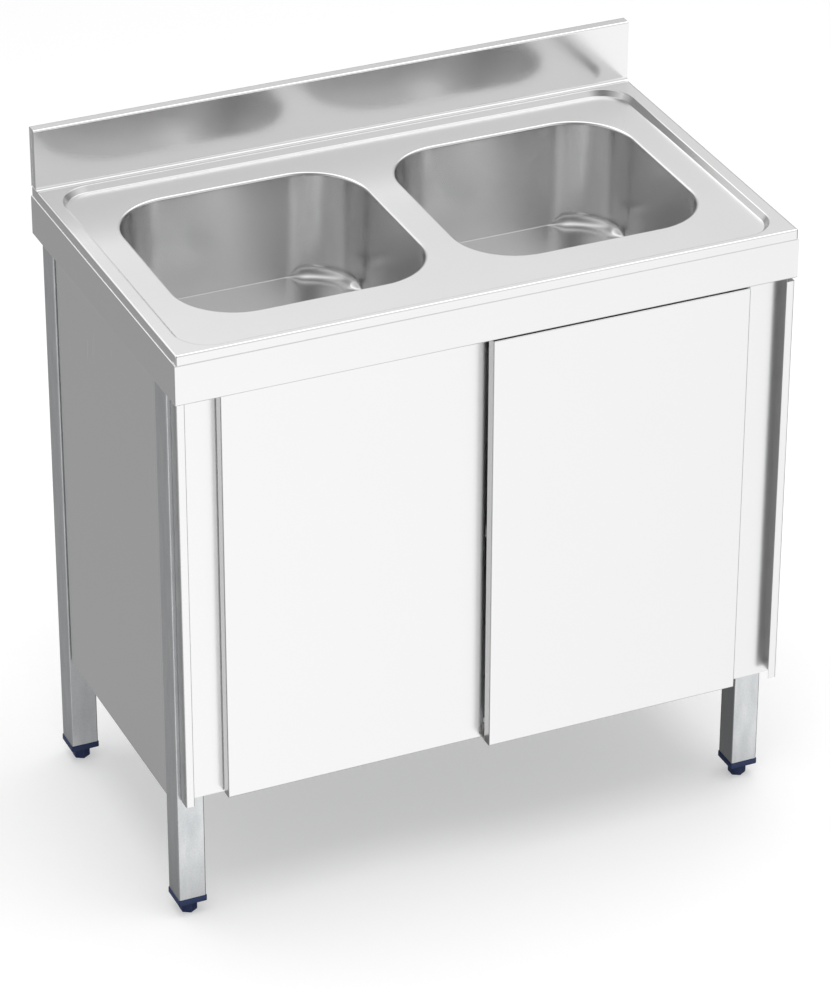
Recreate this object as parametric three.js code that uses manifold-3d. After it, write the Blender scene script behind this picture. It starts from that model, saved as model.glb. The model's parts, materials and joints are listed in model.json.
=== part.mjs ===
import * as THREE from 'three';
import { mergeVertices } from 'three/addons/utils/BufferGeometryUtils.js';
import Module from 'manifold-3d';

const wasm = await Module();
wasm.setup();

// Stainless steel kitchen sink unit: a worktop with a recessed pan, two pressed bowls and a rear upstand,
// on a cabinet with four tubular legs and two doors that slide past each other.
// Millimetres. +X is to the right, +Y towards the wall, +Z up, and z = 0 is the floor.

// Worktop
const topWidth = 900;
const topDepth = 540;
const workHeight = 906;
const deckSheet = 1.2;
const deckEdgeRadius = 2.5;
const lipHeight = 14;
const upstandHeight = 90;
const upstandDepth = 18;
const coveRadius = 5;
const capInset = 1;
const capFlange = 10;

// Pan pressed into the deck
const panSideBorder = 19.5;
const panFrontBorder = 10.5;
const panRearBorder = 11;
const panDepth = 8.5;
const panSlope = 6;
const panCorner = 50;
const panEdgeRadius = 3;
const panFillet = 4;

// Bowls
const bowlLeftMargin = 41.25;
const bowlRightMargin = 51.25;
const bowlFrontMargin = 78;
const bowlRearMargin = 82;
const bowlCorner = 78;
const bowlDepth = 148;
const bowlTaper = 4;
const bowlRoll = 5;
const bowlFillet = 14;
const bowlSheet = 1;
const bowlDivider = 57.5;
const floorFall = 11;

// Wastes
const dishRadius = 57;
const dishDepth = 3.5;
const dishSlope = 2;
const wasteHoleRadius = 43;
const wasteFlangeGap = 1;
const wasteFlangeThick = 2;
const wasteFlangeBevel = 1;
const wasteMouthBevel = 3;
const wasteCupRadius = 36;
const wasteCupDepth = 42;
const wasteCupBevel = 4;
const wasteWall = 2.5;
const outletRadius = 17.5;
const outletLength = 38;
const gasketThick = 3;
const gasketInset = 3;
const nutThick = 9;
const nutLobes = 6;
const nutLobeDepth = 4;
const strainerSheet = 1.2;
const strainerLift = 12;
const strainerTaper = 8;
const strainerHoles = 10;
const strainerHoleRadius = 2.6;
const strainerHoleRing = 20.7;
const knobRadius = 6;
const knobNeck = 3;
const knobHeight = 20;

// Skirt under the deck's lip
const skirtHeight = 58.2;
const skirtSheet = 1;
const skirtProud = 1.5;
const skirtSeam = 0.8;
const apronReturn = 14;
const apronHem = 8;

// Frame of square tube
const tubeSize = 40;
const tubeWall = 1.5;
const tubeCorner = 2;
const legSideInset = 2;
const legFrontInset = 46;
const legRearInset = 29;
const legBottom = 30;
const railWidth = 25;
const railHeight = 40;
const stiffenerWidth = 36;
const stiffenerHeight = 18;
const stiffenerSheet = 1.5;
const stiffenerFlange = 9;

// Levelling feet
const socketPlate = 9;
const socketProud = 1;
const spigotHeight = 30;
const spigotRib = 4;
const spigotFloor = 1;
const footHexRadius = 13;
const footTaper = 1.3;
const studRadius = 5;
const studLength = 48;

// Panels
const panelSheet = 1;
const panelFlange = 15;
const panelRecess = 3;
const panelBottom = 177;
const panelRearSlot = 3;
const serviceWidth = 300;
const serviceHeight = 180;
const serviceBottom = 470;
const serviceCorner = 20;
const shelfDepth = 19;
const shelfSheet = 1.2;
const shelfBeads = 3;
const beadWidth = 16;
const beadDepth = 3;
const beadMargin = 90;

// Doors and the posts beside them
const doorSideInset = 69.5;
const doorThick = 17;
const doorBottom = 195;
const doorHeadGap = 2;
const doorOverlap = 3;
const doorMiddle = 1;
const doorPitch = 25.5;
const doorFrontInset = 0.5;
const doorSheet = 0.9;
const doorReturn = 14;
const doorBend = 0.8;
const doorTravelShort = 12;
const linerFlange = 8;
const postSheet = 1;
const postFlange = 12;
const postDepth = 19;
const postHeadGap = 4;
const postWebReach = 9;
const leftPostInset = 6.5;
const spacerWidth = 28;

// Door track, rollers and guide
const trackSheet = 1.2;
const trackLip = 4.5;
const trackShelf = 10;
const trackRise = 19;
const trackHeadroom = 6;
const trackFlange = 13;
const rollerRadius = 12;
const rollerGroove = 2.5;
const rollerGrooveSlope = 0.8;
const rollerBevel = 1;
const rollerWidth = 8;
const rollerInset = 45;
const rollerSetback = 6.5;
const rollerCollar = 5.2;
const pinRadius = 3;
const pinHead = 4.6;
const hangerWidth = 30;
const hangerThick = 1.6;
const hangerGrip = 40;
const hangerCorner = 4;
const hangerHead = 9;
const hangerHole = 2.2;
const stopLength = 10;
const stopHeight = 13;
const stopCorner = 2;
const guideThick = 1.8;
const guideLength = 24;
const guideRise = 9;
const tongueThick = 3;
const tongueHeight = 8;

// Clearances
const fit = 0.3;
const runningFit = 0.5;
const toolPast = 1;

// The inside radius of a folded sheet, steps round a quarter turn, and sides of round pieces
const sheetBend = 1;
const bendSteps = 2;
const coveSteps = 3;
const cornerSteps = 5;
const bowlCornerSteps = 7;
const bowlSectionSteps = 4;
const wasteSides = 24;
const basketSides = 20;
const rollerSides = 16;
const pinSides = 12;
const holeSides = 8;

// Finishes
const brushedSteel = { color: 0xd9dbda, roughness: 0.42, metalness: 0.85 };
const pressedSteel = { color: 0xc4c7c7, roughness: 0.34, metalness: 0.9 };
const tubeSteel = { color: 0xb9bdbd, roughness: 0.38, metalness: 0.85 };
const zincSteel = { color: 0xa9adb0, roughness: 0.45, metalness: 0.8 };
const brightSteel = { color: 0xd4d6d8, roughness: 0.22, metalness: 1 };
const navyPlastic = { color: 0x22386b, roughness: 0.5, metalness: 0 };
const palePlastic = { color: 0xe4e4de, roughness: 0.45, metalness: 0 };
const blackRubber = { color: 0x26272a, roughness: 0.8, metalness: 0 };

// Places worked out from the sizes above
const halfWidth = topWidth / 2;
const frontY = -topDepth / 2;
const rearY = topDepth / 2;
const deckUnder = workHeight - deckSheet;
const lipBottom = workHeight - lipHeight;
const upstandTop = workHeight + upstandHeight;
const upstandFace = rearY - upstandDepth;
const panFloor = workHeight - panDepth;
const panUnder = panFloor - deckSheet;
const frameTop = panUnder - fit;
const skirtTop = lipBottom - skirtSeam;
const skirtBottom = skirtTop - skirtHeight;
const skirtFace = halfWidth + skirtProud;
const legSide = halfWidth - legSideInset;
const legFront = frontY + legFrontInset;
const legRear = rearY - legRearInset;
const railBottom = frameTop - railHeight;
const railSide = legSide - railWidth;
const bowlWidth = railSide - (bowlLeftMargin + bowlDivider + bowlRightMargin) / 2;
const bowlLength = upstandFace - bowlRearMargin - frontY - bowlFrontMargin;
const bowlMiddleX = (bowlLeftMargin - bowlRightMargin) / 2;
const bowlMiddleY = frontY + bowlFrontMargin + bowlLength / 2;
const bowlPitch = bowlWidth + bowlDivider;
const dishTop = panFloor - bowlDepth - floorFall;
const seatTop = dishTop - dishDepth;
const seatUnder = seatTop - bowlSheet;
const shelfTop = doorBottom + shelfDepth;
const doorTop = skirtBottom - doorHeadGap;
const postTop = skirtBottom - postHeadGap;
const frontDoorY = frontY + doorFrontInset;
const rearDoorY = frontDoorY + doorPitch;
const doorEdge = halfWidth - doorSideInset;
const doorWidth = doorEdge + doorOverlap / 2;
const doorTravel = doorWidth - doorTravelShort;
const doorSlotEnd = 2 * doorSheet;
const trackRunHeight = doorTop + trackRise;
const rollerAxisZ = trackRunHeight + fit + rollerRadius - rollerGroove;
const trackHead = rollerAxisZ + rollerRadius + trackHeadroom + trackSheet;
const footTop = legBottom - socketPlate - fit;

const AXIS_X = new THREE.Vector3(1, 0, 0);
const AXIS_Y = new THREE.Vector3(0, 1, 0);
const AXIS_Z = new THREE.Vector3(0, 0, 1);
const ZERO = new THREE.Vector2(0, 0);

const unit = new THREE.Group();
const top = new THREE.Group();
const cabinet = new THREE.Group();
const doors = new THREE.Group();
unit.add(top, cabinet, doors);

function addPart(group, name, geometry, finish, place = [0, 0, 0]) {
  geometry.computeVertexNormals();
  const mesh = new THREE.Mesh(geometry, new THREE.MeshStandardMaterial(finish));
  mesh.name = name;
  mesh.position.set(...place);
  group.add(mesh);
}

function at(x, y) {
  return new THREE.Vector2(x, y);
}

// A closed skin with its vertices shared and its faces turned outwards
function closedSkin(geometry) {
  const bare = geometry.clone();
  bare.deleteAttribute('normal');
  bare.deleteAttribute('uv');
  const skin = mergeVertices(bare, 1e-4);
  const corner = (k) => new THREE.Vector3().fromBufferAttribute(skin.attributes.position, k);
  const all = skin.index.array;
  const faces = [];
  let volume = 0;
  for (let i = 0; i < all.length; i += 3) {
    const [a, b, c] = [all[i], all[i + 1], all[i + 2]];
    if (a === b || b === c || c === a) continue;
    faces.push([a, b, c]);
    volume += corner(a).dot(corner(b).cross(corner(c)));
  }
  skin.setIndex(faces.flatMap(([a, b, c]) => (volume > 0 ? [a, b, c] : [a, c, b])));
  return skin;
}

// Solids from closed geometries, and back

function toSolid(geometry) {
  const skin = closedSkin(geometry);
  const vertProperties = Float32Array.from(skin.attributes.position.array);
  const triVerts = Uint32Array.from(skin.index.array);
  return new wasm.Manifold(new wasm.Mesh({ numProp: 3, vertProperties, triVerts }));
}

function toGeometry(solid) {
  const mesh = solid.getMesh();
  const geometry = new THREE.BufferGeometry();
  geometry.setAttribute('position', new THREE.BufferAttribute(Float32Array.from(mesh.vertProperties), 3));
  geometry.setIndex(new THREE.BufferAttribute(Uint32Array.from(mesh.triVerts), 1));
  return geometry;
}

function join(first, ...others) {
  return toGeometry(others.reduce((solid, other) => solid.add(toSolid(other)), toSolid(first)));
}

function cut(first, ...tools) {
  return toGeometry(tools.reduce((solid, tool) => solid.subtract(toSolid(tool)), toSolid(first)));
}

function common(first, second) {
  return toGeometry(toSolid(first).intersect(toSolid(second)));
}

// Prisms: a shape in the plane square to the axis, pushed along it from one place to another

function extrude(shape, length) {
  return new THREE.ExtrudeGeometry(shape, { depth: length, bevelEnabled: false });
}

function alongX(shapeYZ, x0, x1) {
  const turn = new THREE.Matrix4().makeBasis(AXIS_Y, AXIS_Z, AXIS_X);
  return extrude(shapeYZ, x1 - x0).applyMatrix4(turn).translate(x0, 0, 0);
}

function alongY(shapeXZ, y0, y1) {
  const turn = new THREE.Matrix4().makeBasis(AXIS_X, AXIS_Z, AXIS_Y.clone().negate());
  return extrude(shapeXZ, y1 - y0).applyMatrix4(turn).translate(0, y1, 0);
}

function alongZ(shapeXY, z0, z1) {
  return extrude(shapeXY, z1 - z0).translate(0, 0, z0);
}

function block(x0, x1, y0, y1, z0, z1) {
  const box = new THREE.BoxGeometry(x1 - x0, y1 - y0, z1 - z0);
  return box.translate((x0 + x1) / 2, (y0 + y1) / 2, (z0 + z1) / 2);
}

// A closed profile of radii and heights turned about the Z axis
function turned(profile, segments) {
  return closedSkin(new THREE.LatheGeometry([...profile, profile[0]], segments)).rotateX(Math.PI / 2);
}

// A profile that starts and ends on the Z axis, turned about it
function spun(profile, segments) {
  return closedSkin(new THREE.LatheGeometry(profile, segments)).rotateX(Math.PI / 2);
}

// A path moved to its left by a distance. Each corner keeps one centre, so the moved path stays parallel:
// its radius, given for the path itself, shrinks on the inside of a bend and grows on the outside.
function parallelPath(corners, radii, shift, steps) {
  const last = corners.length - 1;
  return corners.flatMap((corner, i) => {
    const ahead = Math.max(i, 1);
    const behind = Math.min(i, last - 1);
    const into = corners[ahead].clone().sub(corners[ahead - 1]).normalize();
    const out = corners[behind + 1].clone().sub(corners[behind]).normalize();
    const normal = at(-into.y, into.x);
    if (i === 0 || i === last) return [corner.clone().addScaledVector(normal, shift)];
    const turn = Math.atan2(into.cross(out), into.dot(out));
    const side = Math.sign(turn);
    const middle = normal.clone().rotateAround(ZERO, turn / 2);
    const centre = corner.clone().addScaledVector(middle, (side * radii[i]) / Math.cos(turn / 2));
    const radius = radii[i] - side * shift;
    return Array.from({ length: steps + 1 }, (_, k) => {
      const spoke = normal.clone().rotateAround(ZERO, (turn * k) / steps);
      return centre.clone().addScaledVector(spoke, -side * radius);
    });
  });
}

// The section of a sheet folded along a path, with the sheet on the path's left
function foldedShape(corners, sheet, insideBend = sheetBend) {
  const radii = corners.map((corner, i) => {
    if (i === 0 || i === corners.length - 1) return 0;
    const into = corner.clone().sub(corners[i - 1]);
    const out = corners[i + 1].clone().sub(corner);
    return into.cross(out) > 0 ? insideBend + sheet : insideBend;
  });
  const near = parallelPath(corners, radii, 0, bendSteps);
  const far = parallelPath(corners, radii, sheet, bendSteps);
  return new THREE.Shape([...near, ...far.reverse()]);
}

// A rectangle whose corners are rounded by up to four radii, from the lower left one anticlockwise
function roundedPoints(x0, x1, y0, y1, radii, steps) {
  const corners = [
    [x0, y0, 1, 1, Math.PI],
    [x1, y0, -1, 1, 1.5 * Math.PI],
    [x1, y1, -1, -1, 0],
    [x0, y1, 1, -1, 0.5 * Math.PI],
  ];
  return corners.flatMap(([x, y, inX, inY, start], k) => {
    const radius = radii[k];
    if (radius <= 0) return [at(x, y)];
    return Array.from({ length: steps + 1 }, (_, i) => {
      const angle = start + (0.5 * Math.PI * i) / steps;
      return at(x + inX * radius + radius * Math.cos(angle), y + inY * radius + radius * Math.sin(angle));
    });
  });
}

function roundedShape(x0, x1, y0, y1, radius, steps = bendSteps) {
  return new THREE.Shape(roundedPoints(x0, x1, y0, y1, Array(4).fill(radius), steps));
}

function rectangle(x0, x1, y0, y1) {
  return new THREE.Shape([at(x0, y0), at(x1, y0), at(x1, y1), at(x0, y1)]);
}

function disc(x, y, radius, segments) {
  return new THREE.Shape(
    Array.from({ length: segments }, (_, i) => {
      const angle = (2 * Math.PI * i) / segments;
      return at(x + radius * Math.cos(angle), y + radius * Math.sin(angle));
    }),
  );
}

// A skin over rings with equally many points: rings that follow each other round into the first make a
// hollow form, and a stack of convex rings is closed by a flat face at each end.
function loft(rings, capped) {
  const count = rings[0].length;
  const index = [];
  const spans = capped ? rings.length - 1 : rings.length;
  for (let r = 0; r < spans; r += 1) {
    const here = r * count;
    const next = ((r + 1) % rings.length) * count;
    for (let i = 0; i < count; i += 1) {
      const j = (i + 1) % count;
      index.push(here + i, here + j, next + j, here + i, next + j, next + i);
    }
  }
  if (capped) {
    const top = (rings.length - 1) * count;
    for (let i = 1; i < count - 1; i += 1) {
      index.push(0, i + 1, i, top, top + i, top + i + 1);
    }
  }
  const geometry = new THREE.BufferGeometry().setFromPoints(rings.flat());
  geometry.setIndex(index);
  return closedSkin(geometry);
}

function liftedRing(points, z) {
  return points.map((point) => new THREE.Vector3(point.x, point.y, z));
}

// A rectangular sheet that faces -Y, centred on the Y axis, with a flange turned back along each edge
function flangedTray(width, height, depth, sheet, insideBend = sheetBend) {
  const filled = (inset, start, end, radius) => {
    const halfW = width / 2 - inset;
    const halfH = height / 2 - inset;
    const plan = roundedPoints(-halfW, halfW, start, end, [radius, radius, 0, 0], bendSteps);
    const side = roundedPoints(start, end, -halfH, halfH, [radius, 0, 0, radius], bendSteps);
    const across = alongX(new THREE.Shape(side), -halfW, halfW);
    return common(alongZ(new THREE.Shape(plan), -halfH, halfH), across);
  };
  const hollow = filled(sheet, sheet, depth + sheet, insideBend);
  return cut(filled(0, 0, depth, insideBend + sheet), hollow);
}

function squareTube(width, height, wall = tubeWall, corner = tubeCorner) {
  const shape = roundedShape(-width / 2, width / 2, -height / 2, height / 2, corner);
  const halfW = width / 2 - wall;
  const halfH = height / 2 - wall;
  shape.holes.push(new THREE.Path(roundedShape(-halfW, halfW, -halfH, halfH, corner - wall).getPoints()));
  return shape;
}

// Worktop

function panRing(inset, z) {
  const left = -halfWidth + panSideBorder + inset;
  const front = frontY + panFrontBorder + inset;
  const rear = upstandFace - panRearBorder - inset;
  const radii = Array(4).fill(panCorner - inset);
  return liftedRing(roundedPoints(left, -left, front, rear, radii, cornerSteps), z);
}

// The pan's section runs inwards over its edge, down its slope and on to its floor
function panSolid(shift, topZ) {
  const section = [at(-panEdgeRadius, 0), at(0, 0), at(panSlope, -panDepth), at(3 * panSlope, -panDepth)];
  const path = parallelPath(section, [0, panEdgeRadius, panFillet, 0], shift, bendSteps);
  const rings = path.map((point) => panRing(point.x, workHeight + point.y));
  return loft([...rings.reverse(), panRing(path[0].x, topZ)], true);
}

function bowlPoints(bowlX, inset) {
  const halfX = bowlWidth / 2 - inset;
  const halfY = bowlLength / 2 - inset;
  const radii = Array(4).fill(bowlCorner - inset);
  const centred = roundedPoints(-halfX, halfX, -halfY, halfY, radii, bowlCornerSteps);
  return centred.map((point) => at(point.x + bowlX, point.y + bowlMiddleY));
}

function bowlOpening(bowlX) {
  const rim = new THREE.Shape(bowlPoints(bowlX, -bowlRoll - fit));
  return alongZ(rim, panFloor - 2 * deckSheet, workHeight);
}

function upstandSolids() {
  const headRounding = (radius) => [0, 0, radius, radius];
  const headRadii = headRounding(sheetBend + deckSheet);
  const face = roundedPoints(upstandFace, rearY, deckUnder, upstandTop, headRadii, bendSteps);
  const coveY = upstandFace - coveRadius;
  const coveZ = workHeight + coveRadius;
  const coveArc = (radius) =>
    Array.from({ length: coveSteps + 1 }, (_, i) => {
      const angle = (-0.5 * Math.PI * i) / coveSteps;
      return at(coveY + radius * Math.cos(angle), coveZ + radius * Math.sin(angle));
    });
  const middleZ = (workHeight + deckUnder) / 2;
  const innerRear = rearY - deckSheet;
  const cove = [...coveArc(coveRadius), at(coveY, middleZ), at(innerRear, middleZ), at(innerRear, coveZ)];
  const innerFront = upstandFace + deckSheet;
  const below = lipBottom - lipHeight;
  const innerTop = upstandTop - deckSheet;
  const inside = roundedPoints(innerFront, innerRear, below, innerTop, headRounding(sheetBend), bendSteps);
  const underCove = [...coveArc(coveRadius + deckSheet), at(coveY, below), at(innerFront, below)];
  return {
    skin: alongX(new THREE.Shape(face), -halfWidth, halfWidth),
    cove: alongX(new THREE.Shape(cove), -halfWidth, halfWidth),
    hollow: alongX(new THREE.Shape(inside), -halfWidth - fit, halfWidth + fit),
    underCove: alongX(new THREE.Shape(underCove), -halfWidth + deckSheet, halfWidth - deckSheet),
  };
}

function makeWorktop(bowlCentres) {
  const deck = flangedTray(topWidth, topDepth, lipHeight, deckSheet, deckEdgeRadius - deckSheet);
  deck.rotateX(-Math.PI / 2).translate(0, 0, workHeight);
  const upstand = upstandSolids();
  const folded = cut(join(deck, upstand.skin, upstand.cove), upstand.hollow, upstand.underCove);
  const panSkin = panSolid(-deckSheet, (workHeight + deckUnder) / 2);
  const panHollow = panSolid(0, workHeight + panDepth);
  const open = cut(join(folded, panSkin), panHollow, ...bowlCentres.map(bowlOpening));
  addPart(top, 'worktop', open, brushedSteel);
}

// End caps fold into the open ends of the upstand and stand a little inside them
function makeUpstandCaps() {
  const width = upstandDepth - 2 * deckSheet - 2 * fit;
  const height = upstandTop - deckSheet - fit - lipBottom;
  for (const [name, side] of [['left', -1], ['right', 1]]) {
    const cap = flangedTray(width, height, capFlange, deckSheet).rotateZ((side * Math.PI) / 2);
    cap.translate(side * (halfWidth - capInset), rearY - upstandDepth / 2, lipBottom + height / 2);
    addPart(top, `upstand_cap_${name}`, cap, brushedSteel);
  }
}

// A bowl is one pressing: rolled rim, drawn walls, a floor that falls in straight lines from its rounded
// rectangle to the round dish of the waste, and the seat round the waste hole.
function makeBowl(name, bowlX) {
  const dishEdge = bowlWidth / 2 - dishRadius;
  const fallEnd = at(dishEdge, -bowlDepth - floorFall);
  const section = [at(-bowlRoll, 0), at(0, 0), at(bowlTaper, -bowlDepth), fallEnd];
  const radii = [0, bowlRoll, bowlFillet, 0];
  const count = 4 * (bowlCornerSteps + 1);
  const circle = (radius, z) =>
    Array.from({ length: count }, (_, i) => {
      const angle = Math.PI + (2 * Math.PI * (i + 0.5)) / count;
      return new THREE.Vector3(bowlX + radius * Math.cos(angle), bowlMiddleY + radius * Math.sin(angle), z);
    });
  const face = (shift) => {
    const path = parallelPath(section, radii, shift, bowlSectionSteps).slice(0, -1);
    return [
      ...path.map((point) => liftedRing(bowlPoints(bowlX, point.x), panFloor + point.y)),
      circle(dishRadius + shift / 2, dishTop + shift),
      circle(dishRadius - dishSlope + shift / 2, seatTop + shift),
      circle(wasteHoleRadius, seatTop + shift),
    ];
  };
  addPart(top, name, loft([...face(-bowlSheet), ...face(0).reverse()], false), pressedSteel);
}

function makeStiffener(middleX) {
  const left = middleX - stiffenerWidth / 2;
  const right = middleX + stiffenerWidth / 2;
  const low = frameTop - stiffenerHeight;
  const path = [
    at(right, frameTop),
    at(right - stiffenerFlange, frameTop),
    at(right - stiffenerFlange, low),
    at(left + stiffenerFlange, low),
    at(left + stiffenerFlange, frameTop),
    at(left, frameTop),
  ];
  const hat = foldedShape(path, stiffenerSheet);
  const stiffener = alongY(hat, legFront + railWidth + fit, legRear - railWidth - fit);
  addPart(top, 'deck_stiffener', stiffener, zincSteel);
}

// Waste fitting: a flanged cup with a tail, drawn down on the bowl's seat by a nut under a gasket

function makeWaste(name, bowlX) {
  const flangeRadius = dishRadius - dishSlope - wasteFlangeGap;
  const flangeBottom = seatTop + fit;
  const flangeTop = flangeBottom + wasteFlangeThick;
  const cupFloor = flangeTop - wasteCupDepth;
  const cupUnder = cupFloor - wasteWall;
  const cupOuter = wasteCupRadius + wasteWall;
  const outletOuter = outletRadius + wasteWall;
  const outletBottom = cupUnder - outletLength;
  const mouthBottom = flangeTop - wasteMouthBevel;
  const place = [bowlX, bowlMiddleY, 0];

  const cupProfile = [
    at(outletRadius, outletBottom),
    at(outletOuter, outletBottom),
    at(outletOuter, cupUnder),
    at(cupOuter, cupUnder + wasteCupBevel),
    at(cupOuter, flangeBottom),
    at(flangeRadius, flangeBottom),
    at(flangeRadius - wasteFlangeBevel, flangeTop),
    at(wasteCupRadius + wasteMouthBevel, flangeTop),
    at(wasteCupRadius, mouthBottom),
    at(wasteCupRadius, cupFloor + wasteCupBevel),
    at(wasteCupRadius - wasteCupBevel, cupFloor),
    at(outletRadius, cupFloor),
  ];
  addPart(top, `waste_body_${name}`, turned(cupProfile, wasteSides), brightSteel, place);

  const gasketTop = seatUnder - fit;
  const gasketBottom = gasketTop - gasketThick;
  const gasketInner = cupOuter + runningFit;
  const gasketOuter = flangeRadius - gasketInset;
  const gasketProfile = [
    at(gasketInner, gasketBottom),
    at(gasketOuter, gasketBottom),
    at(gasketOuter, gasketTop),
    at(gasketInner, gasketTop),
  ];
  addPart(top, `waste_gasket_${name}`, turned(gasketProfile, wasteSides), blackRubber, place);

  // Each lobe of the nut takes four points: two out on the lobe and two in the gap beside it
  const nutPoints = 4 * nutLobes;
  const lobes = Array.from({ length: nutPoints }, (_, i) => {
    const angle = (2 * Math.PI * i) / nutPoints;
    const radius = gasketOuter + (i % 4 < 2 ? nutLobeDepth : 0);
    return at(radius * Math.cos(angle), radius * Math.sin(angle));
  });
  const nutShape = new THREE.Shape(lobes);
  nutShape.holes.push(new THREE.Path(disc(0, 0, gasketInner, wasteSides).getPoints()));
  const nutTop = gasketBottom - fit;
  addPart(top, `waste_nut_${name}`, alongZ(nutShape, nutTop - nutThick, nutTop), palePlastic, place);

  const basketRadius = wasteCupRadius - fit;
  const basketBottom = cupFloor + strainerLift;
  const basketFloor = basketBottom + strainerSheet;
  const knobTop = basketBottom + knobHeight;
  const basketProfile = [
    at(0, basketBottom),
    at(basketRadius - strainerTaper, basketBottom),
    at(basketRadius, mouthBottom),
    at(basketRadius - strainerSheet, mouthBottom),
    at(basketRadius - strainerTaper - strainerSheet, basketFloor),
    at(knobNeck + strainerSheet, basketFloor),
    at(knobNeck, knobTop - 2 * knobNeck),
    at(knobRadius, knobTop - knobNeck),
    at(knobRadius, knobTop - strainerSheet),
    at(0, knobTop),
  ];
  const holes = Array.from({ length: strainerHoles }, (_, i) => {
    const angle = (2 * Math.PI * i) / strainerHoles;
    const [x, y] = [strainerHoleRing * Math.cos(angle), strainerHoleRing * Math.sin(angle)];
    const hole = disc(x, y, strainerHoleRadius, holeSides);
    return alongZ(hole, basketBottom - toolPast, basketFloor + toolPast);
  });
  const strainer = cut(spun(basketProfile, basketSides), ...holes);
  addPart(top, `waste_strainer_${name}`, strainer, brightSteel, place);
}

// Skirt: an apron at the front and one at the rear, with channels along both sides

function makeSkirt() {
  const inner = legSide + fit;
  for (const [name, side] of [['left', -1], ['right', 1]]) {
    const [near, far] = [side * inner, side * skirtFace];
    const path = [at(near, skirtBottom), at(far, skirtBottom), at(far, skirtTop), at(near, skirtTop)];
    const channel = foldedShape(side > 0 ? path : path.reverse(), skirtSheet, skirtSheet / 2);
    const start = frontY + skirtSheet + fit;
    addPart(cabinet, `skirt_${name}`, alongY(channel, start, rearY - fit), brushedSteel);
  }
  const path = [
    at(frontY + apronReturn, skirtTop),
    at(frontY, skirtTop),
    at(frontY, skirtBottom),
    at(frontY + apronHem, skirtBottom),
  ];
  const folded = alongX(foldedShape(path, skirtSheet), -legSide, legSide);
  const endTop = skirtTop - skirtSheet - sheetBend;
  const ends = [-1, 1].map((side) => {
    const [x0, x1] = side > 0 ? [legSide - fit, skirtFace] : [-skirtFace, fit - legSide];
    return block(x0, x1, frontY, frontY + skirtSheet, skirtBottom, endTop);
  });
  addPart(cabinet, 'apron_front', join(folded, ...ends), brushedSteel);

  const rearFace = rearY - fit;
  const rearSpan = inner - fit;
  const rearPath = [
    at(rearSpan, rearFace - railWidth),
    at(rearSpan, rearFace),
    at(-rearSpan, rearFace),
    at(-rearSpan, rearFace - railWidth),
  ];
  const rearApron = alongZ(foldedShape(rearPath, skirtSheet), skirtBottom, skirtTop);
  addPart(cabinet, 'apron_rear', rearApron, brushedSteel);
}

// Frame: four legs and the rails between their heads

function makeFrame() {
  const legX = legSide - tubeSize / 2;
  const legYs = { front: legFront + tubeSize / 2, rear: legRear - tubeSize / 2 };
  const legs = [];
  for (const [row, y] of Object.entries(legYs)) {
    for (const [name, side] of [['left', -1], ['right', 1]]) {
      const leg = alongZ(squareTube(tubeSize, tubeSize), legBottom, frameTop);
      addPart(cabinet, `leg_${row}_${name}`, leg, tubeSteel, [side * legX, y, 0]);
      legs.push({ label: `${row}_${name}`, x: side * legX, y });
    }
  }
  const railZ = (railBottom + frameTop) / 2;
  const railSpan = legSide - tubeSize - fit;
  const crossRail = () => alongX(squareTube(railWidth, railHeight), -railSpan, railSpan);
  addPart(cabinet, 'rail_front', crossRail(), zincSteel, [0, legFront + railWidth / 2, railZ]);
  addPart(cabinet, 'rail_rear', crossRail(), zincSteel, [0, legRear - railWidth / 2, railZ]);
  for (const [name, side] of [['left', -1], ['right', 1]]) {
    const start = legFront + tubeSize + fit;
    const rail = alongY(squareTube(railWidth, railHeight), start, legRear - tubeSize - fit);
    addPart(cabinet, `rail_${name}`, rail, zincSteel, [side * (legSide - railWidth / 2), 0, railZ]);
  }
  return legs;
}

// Feet: a ribbed plug in the end of each leg carries a threaded stud with a hexagonal foot

function makeFoot({ label, x, y }) {
  const plateHalf = tubeSize / 2 + socketProud;
  const spigotHalf = tubeSize / 2 - tubeWall - fit;
  const plate = alongZ(
    roundedShape(-plateHalf, plateHalf, -plateHalf, plateHalf, tubeCorner),
    legBottom - socketPlate,
    legBottom - fit,
  );
  const spigotTop = legBottom + spigotHeight;
  const spigot = alongZ(
    roundedShape(-spigotHalf, spigotHalf, -spigotHalf, spigotHalf, tubeCorner - tubeWall),
    legBottom - socketPlate / 2,
    spigotTop,
  );
  const near = spigotRib / 2;
  const far = spigotHalf - spigotRib / 2;
  const half = (far - near) / 2;
  const pockets = [[-1, -1], [1, -1], [1, 1], [-1, 1]].map(([sideX, sideY]) => {
    const pocket = block(-half, half, -half, half, legBottom + spigotFloor, spigotTop + toolPast);
    return pocket.translate((sideX * (near + far)) / 2, (sideY * (near + far)) / 2, 0);
  });
  const boreRadius = studRadius + runningFit;
  const boss = alongZ(disc(0, 0, boreRadius + spigotRib, pinSides), legBottom, spigotTop);
  const boreStart = legBottom - socketPlate - toolPast;
  const bore = alongZ(disc(0, 0, boreRadius, pinSides), boreStart, spigotTop + toolPast);
  const socket = cut(join(cut(join(plate, spigot), ...pockets), boss), bore);
  addPart(cabinet, `foot_socket_${label}`, socket, navyPlastic, [x, y, 0]);

  const hexProfile = [
    at(0, 0),
    at(footHexRadius - 2 * footTaper, 0),
    at(footHexRadius - footTaper, footTaper),
    at(footHexRadius, footTop - footTaper),
    at(footHexRadius - footTaper, footTop),
    at(0, footTop),
  ];
  const hexagon = spun(hexProfile, 6);
  const stud = alongZ(disc(0, 0, studRadius, pinSides), footTop / 2, footTop + studLength);
  addPart(cabinet, `foot_screw_${label}`, join(hexagon, stud), navyPlastic, [x, y, 0]);
}

// Panels

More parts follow.
